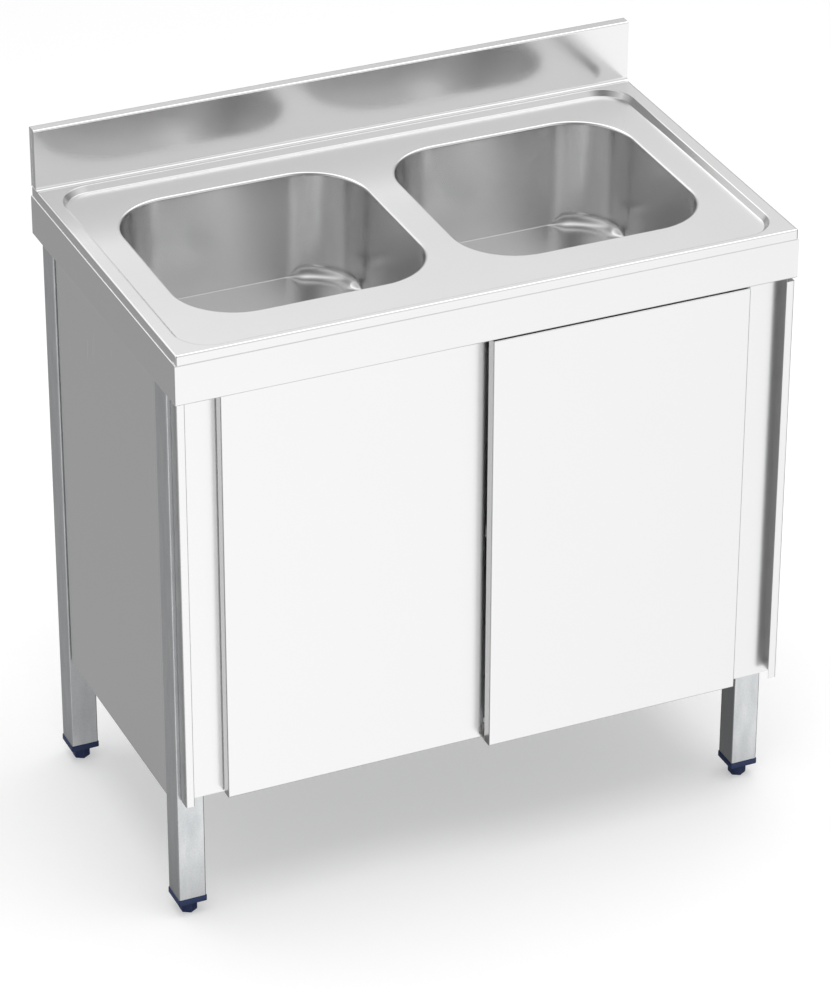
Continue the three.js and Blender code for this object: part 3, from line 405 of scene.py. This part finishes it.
# Sizes in mm: the deck's sheet with its pan and upstand, and the two bowls
deck = {
    "sheet": 1.2, "lip": 14, "edgeRadius": 2.5, "corner": 3,
    "sideBorder": 19.5, "frontBorder": 10.5, "rearBorder": 11, "upstandDepth": 18,
    "panDepth": 8.5, "panSlope": 6, "panCorner": 50, "panEdge": 1.8, "panFillet": 2.4, "panRun": 6,
    "edgeRun": 8, "cove": 5, "coveLift": 0.05, "bend": 1.4,
}
bowl = {
    "sheet": 1, "width": 354.4, "length": 354, "corner": 88, "depth": 157, "taper": 4, "roll": 4,
    "crease": 0.8, "fillet": 20, "fall": 2, "dish": 57, "dishDepth": 3.5, "dishSlope": 2, "hole": 43,
    # steps round the dish's upper edge and its foot, as (outward, up)
    "dishEdge": [(1.2, 0), (0, -0.15), (-0.5, -0.7)], "dishFoot": [(0.4, 0.5), (-0.8, 0)],
    "leftX": -205.3, "rightX": 200.2, "middleY": 1.2, "rimGap": 0.02,
}

(topLeft, topFront, lipBottom), (topRight, topRear, topHigh) = boxOf("worktop")
deckTop = lipBottom + deck["lip"]
panFloor = deckTop - deck["panDepth"]
upstandFace = topRear - deck["upstandDepth"]
# The rims stand where the photo shows them; the drains keep the places of the wastes below
rims = {side: (bowl[side + "X"], bowl["middleY"]) for side in sides}
drains = {side: middleOf("waste_body_" + side)[:2] for side in sides}


# The pan's rounded edge, inset from where it leaves the border
def panLoop(inset):
    return roundedLoop(topLeft + deck["sideBorder"] + inset, topRight - deck["sideBorder"] - inset,
                       topFront + deck["frontBorder"] + inset, upstandFace - deck["rearBorder"] - inset,
                       deck["panCorner"] - inset)


# A bowl's rounded rectangle about its centre, inset from its rim
def bowlLoop(centre, inset, steps=20):
    x, y = centre
    halfX, halfY = bowl["width"] / 2 - inset, bowl["length"] / 2 - inset
    return roundedLoop(x - halfX, x + halfX, y - halfY, y + halfY, bowl["corner"] - inset, steps)


# The deck is one skin: rings run from the pan's floor out over its slope and the border, round the outer
# edge and its lip, and back underneath; the two faces of the pan's floor are closed round the bowl holes.
def deckShape():
    panSection = [(-deck["panEdge"], 0), (0, 0), (deck["panSlope"], -deck["panDepth"]),
                  (deck["panSlope"] + deck["panRun"], -deck["panDepth"])]
    panRadii = [0, deck["panEdge"], deck["panFillet"], 0]
    edgeSection = [(deck["edgeRun"], 0), (0, 0), (0, -deck["lip"])]
    edgeRadii = [0, deck["edgeRadius"], 0]

    def face(shift):
        pan = heldPath(parallelPath(panSection, panRadii, -shift, steps=6), edge=0.3)
        edge = heldPath(parallelPath(edgeSection, edgeRadii, shift, steps=6), edge=0.3)
        rings = [lifted(panLoop(s), deckTop + z) for s, z in pan[::-1]]
        for s, z in edge:
            corner = max(deck["corner"] - s, 0.4)
            rim = roundedLoop(topLeft + s, topRight - s, topFront + s, topRear - s, corner)
            rings.append(lifted(rim, deckTop + z))
        return rings

    top, under = face(0), face(deck["sheet"])
    holes = [bowlLoop(rim, -bowl["roll"] - bowl["rimGap"]) for rim in rims.values()]
    return pierced(top + under[::-1], holes, "z", (panFloor, panFloor - deck["sheet"]))


# The upstand folds up from the deck in a small cove, back over its top and down behind to the deck's edge:
# its section pushed along X
def upstandShape():
    foot = deckTop + deck["coveLift"]
    path = [(upstandFace - deck["cove"], foot), (upstandFace, foot), (upstandFace, topHigh),
            (topRear, topHigh), (topRear, foot)]
    bend = deck["bend"] + deck["sheet"]
    front, back = (heldPath(parallelPath(path, [0, deck["cove"], bend, bend, 0], shift))
                   for shift in (0, -deck["sheet"]))
    return pushed(np.concatenate([front, back[::-1]]), "x", topLeft, topRight)


makePiece("deck_sheet", deckShape(), deckSteel, "cabinet", ["worktop"])
makePiece("upstand_sheet", upstandShape(), standSteel, "cabinet", ["worktop"])
print("worktop made")


# A bowl is rings from its rolled rim down the walls: ring point = rim point - inset * outward normal. The
# straight sides meet the floor in a crease and the corners in a wide fillet; from there each point runs in a
# straight line to the round dish, which gives a flat triangle at each side and a cone at each corner.
def bowlShape(rim, drain, steps=10):
    loop = bowlLoop(rim, 0)
    outward = loop - bowlLoop(rim, 1)
    count = len(loop)
    # The share of the wide fillet rises smoothly over the first fifth of a corner and falls over its last
    arc = np.linspace(0, 1, count // 4 - 2)
    rise = np.clip(5 * np.minimum(arc, 1 - arc), 0, 1)
    wide = np.tile(np.concatenate([[0], rise * rise * (3 - 2 * rise), [0]]), 4)
    floorLow = -bowl["depth"] - bowl["fall"]
    section = [(-bowl["roll"], 0), (0, 0), (bowl["taper"], -bowl["depth"]),
               (bowl["width"] / 2 - bowl["dish"], floorLow)]
    dish = [(bowl["dish"] + r, z) for r, z in bowl["dishEdge"]]
    dish += [(bowl["dish"] - bowl["dishSlope"] + r, z - bowl["dishDepth"]) for r, z in bowl["dishFoot"]]
    dish.append((bowl["hole"], -bowl["dishDepth"]))
    wallShares = np.array([0.01, 0.3, 0.6, 0.99])[:, None, None]
    floorShares = np.array([0.02, 0.25, 0.5, 0.75, 0.98])[:, None, None]
    wallTop = steps + 1

    def face(shift):
        creased, filleted = (parallelPath(section, [0, bowl["roll"], radius, 0], -shift, steps)[:-1]
                             for radius in (bowl["crease"], bowl["fillet"]))
        path = creased[:, None] + wide[None, :, None] * (filleted - creased)[:, None]
        flat = loop - path[:, :, :1] * outward
        rings = np.concatenate([flat, panFloor + path[:, :, 1:]], axis=2)
        wall = rings[wallTop] + wallShares * (rings[wallTop + 1] - rings[wallTop])
        circles = [lifted(circleLoop(*drain, r, count), panFloor + floorLow + z - shift) for r, z in dish]
        floor = rings[-1] + floorShares * (circles[0] - rings[-1])
        return [*rings[:wallTop + 1], *wall, *rings[wallTop + 1:], *floor, *circles]

    return hollowRings(face(0) + face(bowl["sheet"])[::-1])


for side, rim in rims.items():
    makePiece("bowl_pressing_" + side, bowlShape(rim, drains[side]), bowlSteel, "cabinet", ["bowl_" + side])
print("bowls made")

# A waste is a cup turned with its flange and tail; its strainer is a pierced basket with a knob
waste = {"flange": 54, "flangeThick": 2, "mouth": 39, "cup": 36, "depth": 42, "wall": 2.5, "chamfer": 3,
         "outlet": 17.5, "tail": 38, "cone": 4, "fit": 0.3}
basket = {"sheet": 1.2, "lift": 12, "taper": 8, "holes": 10, "hole": 2.6, "ring": 20.7, "bevel": 0.3}
# the knob as (radius, up from the basket's floor) at its foot and (radius, down from its top) at its head
knob = {"height": 20, "foot": [(4.2, 0), (3.6, 0.8), (3, 2.5)],
        "head": [(3, 6.5), (3.4, 5.4), (5.4, 3.4), (6, 2.6), (6, 1.4), (5.6, 0.6), (4.6, 0.15), (0.5, 0)]}

flangeLow = panFloor - bowl["depth"] - bowl["fall"] - bowl["dishDepth"] + waste["fit"]
flangeTop = flangeLow + waste["flangeThick"]
cupFloor = flangeTop - waste["depth"]
basketLow = cupFloor + basket["lift"]


# The cup's wall is one closed profile, with its corners as arcs, turned about Z
def wasteShape():
    under = cupFloor - waste["wall"]
    low = under - waste["tail"]
    outer, pipe = waste["cup"] + waste["wall"], waste["outlet"] + waste["wall"]
    corners = [
        (waste["outlet"], low, 0.4), (pipe, low, 0.4), (pipe, under, 2), (outer, under + waste["cone"], 3),
        (outer, flangeLow, 0.6), (waste["flange"], flangeLow, 0.6), (waste["flange"], flangeTop, 0.9),
        (waste["mouth"], flangeTop, 2), (waste["cup"], flangeTop - waste["chamfer"], 2),
        (waste["cup"], cupFloor, 5), (waste["outlet"], cupFloor, 2),
    ]
    return turnedProfile(heldPath(roundedProfile(corners)))


# The basket's sheet is circles from its floor up the inside, over the mouth and down the outside, with a
# ring of holes in the floor
def strainerShape(count=72):
    mouth = flangeTop - waste["chamfer"]
    floor, radius = basketLow + basket["sheet"], waste["cup"] - waste["fit"]
    outer = radius - basket["taper"]
    inner, inside = outer - basket["sheet"], radius - basket["sheet"]
    bevel = basket["bevel"]
    profile = [
        (inner - 1.5, floor), (inner - 0.6, floor + 0.15), (inner, floor + 0.8),
        (inside, mouth - bevel), (inside + bevel, mouth), (radius - bevel, mouth), (radius, mouth - bevel),
        (outer, basketLow + 1.4), (outer - 0.6, basketLow + 0.3), (outer - 1.8, basketLow),
    ]
    angles = 2 * pi * np.arange(basket["holes"]) / basket["holes"]
    holes = [circleLoop(basket["ring"] * cos(a), basket["ring"] * sin(a), basket["hole"], 20) for a in angles]
    rings = [lifted(circleLoop(0, 0, r, count), z) for r, z in profile]
    return pierced(rings, holes, "z", (floor, basketLow))


# The knob is circles up its foot, stem and head
def knobShape():
    profile = [(r, basketLow + basket["sheet"] + z) for r, z in knob["foot"]]
    profile += [(r, basketLow + knob["height"] - z) for r, z in knob["head"]]
    return stackedRings([lifted(circleLoop(0, 0, r, 48), z) for r, z in profile])


for side, drain in drains.items():
    for name, shape, node in (("waste_cup_", wasteShape(), "waste_body_"),
                              ("strainer_basket_", strainerShape(), "waste_strainer_"),
                              ("strainer_knob_", knobShape(), "waste_strainer_")):
        makePiece(name + side, shape, brightSteel, "cabinet", [node + side],
                  place=(*drain, 0))
print("wastes made")

# The skirt under the deck's lip: sizes of its four folded sheets
skirt = {"sheet": 1, "bend": 1, "sideBend": 0.5, "topReturn": 14, "lowReturn": 8, "gap": 0.15}


# The section of a folded piece is given in mm, its length comes from the solid that it stands for
def foldedPiece(name, node, axis, path, thick, bend, material=doorSteel):
    low, high = boxOf(node)
    k = "xyz".index(axis)
    shape = pushed(foldedOutline(path, thick, bend), axis, low[k], high[k])
    return makePiece(name, shape, material, "cabinet", [node])


low, high = boxOf("apron_front")
skirtLow, skirtHigh, skirtFront = low[2], lipBottom - skirt["gap"], low[1]
apron = [(skirtFront + skirt["topReturn"], skirtHigh), (skirtFront, skirtHigh), (skirtFront, skirtLow),
         (skirtFront + skirt["lowReturn"], skirtLow)]
foldedPiece("apron_sheet", "apron_front", "x", apron, skirt["sheet"], skirt["bend"], deckSteel)
for side, sign in sides.items():
    low, high = boxOf("skirt_" + side)
    near, far = sorted((low[0], high[0]), key=abs)
    channel = [(near, skirtLow), (far, skirtLow), (far, skirtHigh), (near, skirtHigh)]
    foldedPiece("side_skirt_" + side, "skirt_" + side, "y", channel[::sign], skirt["sheet"],
                skirt["sideBend"], deckSteel)
low, high = boxOf("apron_rear")
rear = [(high[0], low[1]), (high[0], high[1]), (low[0], high[1]), (low[0], low[1])]
foldedPiece("rear_skirt", "apron_rear", "z", rear, skirt["sheet"], skirt["bend"], deckSteel)


# A sheet tray turned to face out at the unit's side: (x, y, z) becomes (-sign * y, sign * x, z)
def sideTray(name, node, sign, thick, material):
    low, high = boxOf(node)
    depth, width, height = high - low
    verts, faces = traySheet(width, height, depth, thick)
    verts = np.column_stack([-sign * verts[:, 1], sign * verts[:, 0], verts[:, 2]])
    spot = (max(low[0], high[0], key=abs), *middleOf(node)[1:])
    makePiece(name, (verts, faces), material, "cabinet", [node], place=spot)


for side, sign in sides.items():
    sideTray("upstand_end_" + side, "upstand_cap_" + side, sign, deck["sheet"], deckSteel)

# Posts are channels with a front flange; its free edge is pressed back a little, and the web behind it runs
# in under the door
post = {"sheet": 1, "bend": 1, "flange": 12, "pressed": 0.8, "pressDepth": 0.5}
spacer = {"sheet": 1.2, "bend": 1}

for side, sign in sides.items():
    low, high = boxOf("post_" + side)
    inner, outer = sorted((low[0], high[0]), key=abs)
    flangeEnd = outer - sign * post["flange"]
    path = [(flangeEnd, low[1] + post["pressDepth"]), (flangeEnd + sign * post["pressed"], low[1]),
            (outer, low[1]), (outer, high[1]), (inner, high[1])]
    piece = foldedPiece("post_channel_" + side, "post_" + side, "z", path[::sign], post["sheet"],
                        post["bend"])
    # The sides of a post get a darker colour than its face, as painted shade, and a rougher finish
    mesh = piece.data
    normals = np.empty(3 * len(mesh.polygons))
    mesh.polygons.foreach_get("normal", normals)
    mesh.materials.append(shadedSideSteel)
    mesh.polygons.foreach_set("material_index", (np.abs(normals[0::3]) > 0.9).astype(int))

low, high = boxOf("post_spacer")
path = [(low[0], high[1]), (low[0], low[1]), (high[0], low[1]), (high[0], high[1])]
foldedPiece("post_spacer_channel", "post_spacer", "z", path, spacer["sheet"], spacer["bend"])

# The legs' square tube
tube = {"wall": 1.5, "corner": 2, "bevel": 0.3}


# A square tube along Z: outside and inside skins that meet in a small bevel at each end
def tubeSkin(width, depth, low, high):
    wall, bevel = tube["wall"], tube["bevel"]

    def ring(inset, z):
        corner = max(tube["corner"] - inset, 0.3)
        x, y = width / 2 - inset, depth / 2 - inset
        return lifted(roundedLoop(-x, x, -y, y, corner, steps=4, edge=0.3), z)

    outside = [ring(bevel, low), ring(0, low + bevel), ring(0, low + 2 * bevel),
               ring(0, high - 2 * bevel), ring(0, high - bevel), ring(bevel, high)]
    inside = [ring(wall - bevel, high), ring(wall, high - bevel), ring(wall, low + bevel),
              ring(wall - bevel, low)]
    return hollowRings(outside + inside)


for row in rows:
    for side in sides:
        node = f"leg_{row}_{side}"
        low, high = boxOf(node)
        skin = tubeSkin(*(high - low)[:2], low[2], high[2])
        makePiece(f"leg_tube_{row}_{side}", skin, tubeSteel, "cabinet", [node],
                  place=(*middleOf(node)[:2], 0))

panel = {"sheet": 1, "bend": 1, "windowWide": 300, "windowLow": 470, "windowHigh": 650, "windowCorner": 20}

for side, sign in sides.items():
    sideTray("side_sheet_" + side, "side_panel_" + side, sign, panel["sheet"], doorSteel)

# The rear panel faces back and has a window for the pipes: its tray turned half a turn about Z
low, high = boxOf("rear_panel")
width, depth, height = high - low
middleZ = middleOf("rear_panel")[2]
rings = traySkin(width, height, trayEdge(depth), panel["sheet"], panel["bend"])
window = roundedLoop(-panel["windowWide"] / 2, panel["windowWide"] / 2, panel["windowLow"] - middleZ,
                     panel["windowHigh"] - middleZ, panel["windowCorner"], steps=12)
verts, faces = pierced(rings, [window], "y", (0, panel["sheet"]))
makePiece("rear_sheet", (verts * [-1, -1, 1], faces), doorSteel, "cabinet", ["rear_panel"],
          place=(0, high[1], middleZ))
print("cabinet made")

# A foot is a plug in the leg's end, and a hexagon on a threaded stud that screws out of it
foot = {"bore": 5.5, "plateTop": 29.7, "plateBevel": 0.8, "plateCorner": 2.2, "plateRound": 0.5,
        "spigot": 18.2, "spigotCorner": 1, "hex": 13, "hexTop": 20.7, "hexBevel": 1.2, "hexSoft": 0.8,
        "stud": 5, "studLow": 20.4, "studTip": 1.4, "pitch": 1.75, "thread": 0.45}


# The plug is a square plate with a spigot up into the leg, as square rings round the outside, and circles
# back down its bore
def plugShape(low, high):
    half, bottom, top = (high[0] - low[0]) / 2, low[2], foot["plateTop"]
    bevel, corner, spigot = foot["plateBevel"], foot["plateCorner"], foot["spigot"]
    squares = [
        (half - bevel, corner - 0.8, bottom), (half - bevel / 3, corner - 0.3, bottom + bevel / 3),
        (half, corner, bottom + bevel), (half, corner, top - foot["plateRound"]),
        (half - 0.15, corner - 0.1, top - 0.15), (half - foot["plateRound"], corner - 0.2, top),
        (spigot, foot["spigotCorner"], top), (spigot, foot["spigotCorner"], high[2] - 2),
        (spigot - 1.5, foot["spigotCorner"], high[2]),
    ]
    rings = [lifted(roundedLoop(-s, s, -s, s, r, steps=6, edge=0.4), z) for s, r, z in squares]
    circles = [(foot["bore"], high[2]), (foot["bore"], bottom + 0.4), (foot["bore"] + 0.4, bottom)]
    return hollowRings(rings + [lifted(circleLoop(0, 0, r, len(rings[0])), z) for r, z in circles])


# A hexagon with softened corners: each corner is an arc of three points between two flats
def hexLoop(radius):
    soften = foot["hexSoft"]
    corners = pi / 2 + pi / 3 * np.arange(6)
    spread = np.radians([-30, 0, 30])
    inner = radius - soften / cos(pi / 6)
    x = inner * np.cos(corners)[:, None] + soften * np.cos(corners[:, None] + spread)
    y = inner * np.sin(corners)[:, None] + soften * np.sin(corners[:, None] + spread)
    return np.stack([x, y], axis=2).reshape(-1, 2)


# The hexagon foot, with a bevelled and rounded edge below and above
def hexagonShape():
    wide, top, bevel = foot["hex"], foot["hexTop"], foot["hexBevel"]
    profile = [(wide - bevel - 1, 0), (wide - bevel, 0.25), (wide - 0.3, bevel), (wide, bevel + 0.8),
               (wide, top - bevel - 0.4), (wide - 0.3, top - bevel), (wide - bevel, top - 0.2),
               (wide - bevel - 1, top)]
    return stackedRings([lifted(hexLoop(r), z) for r, z in profile])


# The thread is circles up the stud that swell and shrink once a pitch: r = stud - thread + thread * cos
def studShape(high, count=32):
    z = np.arange(foot["studLow"], high - 1, foot["pitch"] / 4)
    r = foot["stud"] - foot["thread"] + foot["thread"] * np.cos(2 * pi * z / foot["pitch"])
    rings = [lifted(circleLoop(0, 0, radius, count), height) for radius, height in zip(r, z)]
    rings.append(lifted(circleLoop(0, 0, foot["stud"] - foot["studTip"], count), high))
    return stackedRings(rings)


for row in rows:
    for side in sides:
        corner = f"{row}_{side}"
        socket, screw, body = "foot_socket_" + corner, "foot_screw_" + corner, "foot_" + corner
        spot = (*middleOf(socket)[:2], 0)
        makePiece("foot_plug_" + corner, plugShape(*boxOf(socket)), navyNylon, "cabinet", [socket],
                  place=spot)
        low, high = boxOf(screw)
        for name, shape in (("foot_hexagon_", hexagonShape()), ("foot_stud_", studShape(high[2]))):
            makePiece(name + corner, shape, navyNylon, body, [screw], place=spot)
print("feet made")


# A tray with a slot along its lower return, between two depths. The lower side of each ring runs from its
# point 4 to its point 5. The slot leaves out that side's quad between the two depths in the outer and the
# inner skin, and four walls join the edges of the two gaps.
def slottedTray(rings, depths):
    count = len(rings[0])
    front, back = ([i for i, ring in enumerate(rings) if abs(ring[0, 1] - depth) < 1e-6] for depth in depths)
    for outside, inside in (front, back):
        rings[inside][[4, 5], 0] = rings[outside][[4, 5], 0]
    verts, faces = stackedRings(rings)
    gaps = [min(pair) * count + 4 for pair in zip(front, back)]
    faces = [face for i, face in enumerate(faces) if i not in gaps]
    (a, b), (c, d) = (np.array([front, back]) * count + 4).tolist()
    walls = [[a, a + 1, b + 1, b], [c, c + 1, d + 1, d], [a, c, d, b], [a + 1, c + 1, d + 1, b + 1]]
    return verts, faces + walls


# A door is an outer pan whose return has a lip, open below where the floor guide's tongue runs, and an
# inner sheet that faces back
door = {"sheet": 0.9, "bend": 0.8, "thick": 17, "faceRun": 8, "return": 14, "slot": (6.5, 10.5)}

for side in sides:
    shell, liner, body = f"door_{side}_shell", f"door_{side}_liner", "door_" + side
    low, high = boxOf(shell)
    width, depth, height = high - low
    middle = middleOf(shell)
    section = [(door["faceRun"], 0), (0, 0), (0, door["thick"]), (door["return"], door["thick"])]
    rings = traySkin(width, height, section, door["sheet"], door["bend"], door["slot"])
    makePiece("door_skin_" + side, slottedTray(rings, door["slot"]), doorSteel, body, [shell],
              place=(middle[0], low[1], middle[2]))

    low, high = boxOf(liner)
    width, depth, height = high - low
    middle = middleOf(liner)
    verts, faces = traySheet(width, height, depth, door["sheet"])
    makePiece("door_liner_" + side, (verts * [-1, -1, 1], faces), doorSteel, body, [liner],
              place=(middle[0], high[1], middle[2]))
print("doors made")


# The way that looks along an azimuth, from +Y towards +X, and a height above the horizon, in degrees
def heading(azimuth, height):
    a, h = radians(azimuth), radians(height)
    return Vector((sin(a) * cos(h), cos(a) * cos(h), sin(h)))


# The camera stands where the photograph's did, in metres and degrees
view = {"place": (-2.2818, -5.12853, 3.69708), "azimuth": 24.042, "height": -30.071, "roll": 0.17,
        "lens": 165.92, "sensor": 36, "reach": 60}

ahead = heading(view["azimuth"], view["height"])
right = ahead.cross(Vector((0, 0, 1))).normalized()
up = right.cross(ahead)
roll = radians(view["roll"])
right, up = cos(roll) * right + sin(roll) * up, cos(roll) * up - sin(roll) * right
cameraData = bpy.data.cameras.new("camera")
cameraData.lens = view["lens"]
cameraData.sensor_width = view["sensor"]
cameraData.clip_end = view["reach"]
camera = bpy.data.objects.new("camera", cameraData)
camera.matrix_world = Matrix((right, up, -ahead)).transposed().to_4x4()
camera.location = view["place"]
scene.collection.objects.link(camera)
scene.camera = camera
scene.view_settings.view_transform = "Standard"

# What the steel mirrors: a dark room with soft lamps all round, each given by its azimuth, its height above
# the horizon and its level. A lamp falls off from its middle as level * exp(tight * (cos(angle) - 1)).
room = {
    "fill": 0.62, "tight": 9,
    "lamps": [
        (0, 75, 0.47), (120, 75, 0.58),
        (10, 48, 1.06), (61, 48, 1.2), (113, 48, 0.61), (319, 48, 1.12),
        (160, 22, 0.6), (240, 22, 0.46), (280, 22, 0.32), (320, 22, 0.42),
        (140, -5, 0.6), (180, -5, 0.2), (260, -5, 0.48),
        (290, -20, 0.3),
        (0, -32, 0.35), (45, -32, 0.4), (135, -32, 0.36), (180, -32, 0.85), (225, -32, 0.2), (315, -32, 0.14),
        (160, -55, 0.25),
        (20, -62, 0.09), (110, -62, 0.25), (200, -62, 0.18),
    ],
}
white = (1, 1, 1, 1)

# The camera, and any glass, sees plain white; glossy rays see the lamps and all others an even fill
world = bpy.data.worlds.new("studio")
scene.world = world
world.use_nodes = True
tree = world.node_tree
tree.nodes.clear()
path = addNode(tree, "ShaderNodeLightPath")
coords = addNode(tree, "ShaderNodeTexCoord")
seen = addNode(tree, "ShaderNodeMath", {"operation": "MAXIMUM"},
               {0: path.outputs["Is Camera Ray"], 1: path.outputs["Is Transmission Ray"]})
fill = addNode(tree, "ShaderNodeBackground", {"Color": white, "Strength": room["fill"]})
plain = addNode(tree, "ShaderNodeBackground", {"Color": white, "Strength": 1.0})
total = None
for azimuth, height, level in room["lamps"]:
    facing = addNode(tree, "ShaderNodeVectorMath", {"operation": "DOT_PRODUCT", 1: heading(azimuth, height)},
                     {0: coords.outputs["Generated"]})
    fall = addNode(tree, "ShaderNodeMath", {"operation": "MULTIPLY_ADD", 1: room["tight"], 2: -room["tight"]},
                   {0: facing.outputs["Value"]})
    glow = addNode(tree, "ShaderNodeMath", {"operation": "EXPONENT"}, {0: fall.outputs[0]})
    before = {2: total} if total else {}
    total = addNode(tree, "ShaderNodeMath", {"operation": "MULTIPLY_ADD", 1: level, 2: 0.0},
                    {0: glow.outputs[0], **before}).outputs[0]
mirrored = addNode(tree, "ShaderNodeBackground", {"Color": white}, {"Strength": total})
unseen = addNode(tree, "ShaderNodeMixShader", {}, {0: path.outputs["Is Glossy Ray"], 1: fill.outputs[0],
                                                  2: mirrored.outputs[0]})
both = addNode(tree, "ShaderNodeMixShader", {}, {0: seen.outputs[0], 1: unseen.outputs[0],
                                                2: plain.outputs[0]})
addNode(tree, "ShaderNodeOutputWorld", {}, {"Surface": both.outputs[0]})

# The floor is pale and takes the unit's shadow. The steel looks through it at the lamps below, which it sees
# darker by the shade under the unit: level = 1 - shade * share of x * share of y, and each share falls from 1
# to 0 over its span of distances from the middle, in metres.
ground = {"size": 40, "tone": 0.64, "glow": 0.4, "shade": 0.62, "shadeX": (0.41, 0.53), "shadeY": (0.2, 0.36)}

half = ground["size"] / 2
corners = [(-half, -half, 0), (half, -half, 0), (half, half, 0), (-half, half, 0)]
floorMesh = bpy.data.meshes.new("floor")
floorMesh.from_pydata(corners, [], [(0, 1, 2, 3)])
floorFinish, tree = newMaterial("pale studio floor")
path = addNode(tree, "ShaderNodeLightPath")
coords = addNode(tree, "ShaderNodeTexCoord")
tone = addNode(tree, "ShaderNodeBsdfDiffuse", {"Color": (*[ground["tone"]] * 3, 1)})
glow = addNode(tree, "ShaderNodeEmission", {"Color": white, "Strength": ground["glow"]})
lit = addNode(tree, "ShaderNodeAddShader", {}, {0: tone.outputs[0], 1: glow.outputs[0]})
seen = addNode(tree, "ShaderNodeMixShader", {}, {0: path.outputs["Is Camera Ray"], 1: tone.outputs[0],
                                                2: lit.outputs[0]})
spot = addNode(tree, "ShaderNodeSeparateXYZ", {}, {0: coords.outputs["Object"]})
shares = []
for axis, (near, far) in enumerate((ground["shadeX"], ground["shadeY"])):
    distance = addNode(tree, "ShaderNodeMath", {"operation": "ABSOLUTE"}, {0: spot.outputs[axis]})
    share = addNode(tree, "ShaderNodeMapRange",
                    {"From Min": near, "From Max": far, "To Min": 1.0, "To Max": 0.0},
                    {"Value": distance.outputs[0]})
    shares.append(share.outputs["Result"])
under = addNode(tree, "ShaderNodeMath", {"operation": "MULTIPLY"}, {0: shares[0], 1: shares[1]})
light = addNode(tree, "ShaderNodeMath", {"operation": "MULTIPLY_ADD", 1: -ground["shade"], 2: 1.0},
                {0: under.outputs[0]})
clear = addNode(tree, "ShaderNodeBsdfTransparent", {}, {"Color": light.outputs[0]})
either = addNode(tree, "ShaderNodeMixShader", {}, {0: path.outputs["Is Glossy Ray"], 1: seen.outputs[0],
                                                  2: clear.outputs[0]})
addNode(tree, "ShaderNodeOutputMaterial", {}, {"Surface": either.outputs[0]})
floorMesh.materials.append(floorFinish)
floor = bpy.data.objects.new("floor", floorMesh)
scene.collection.objects.link(floor)

# One wide softbox overhead lights what is dull; the steel doesn't mirror it
softbox = {"power": 161, "size": 4.7, "place": (0.3, -0.6, 5.0)}

keyLight = bpy.data.lights.new("overhead softbox", "AREA")
keyLight.shape = "SQUARE"
keyLight.size = softbox["size"]
keyLight.energy = softbox["power"]
key = bpy.data.objects.new("overhead softbox", keyLight)
key.location = softbox["place"]
key.visible_glossy = False
scene.collection.objects.link(key)
print("studio made")
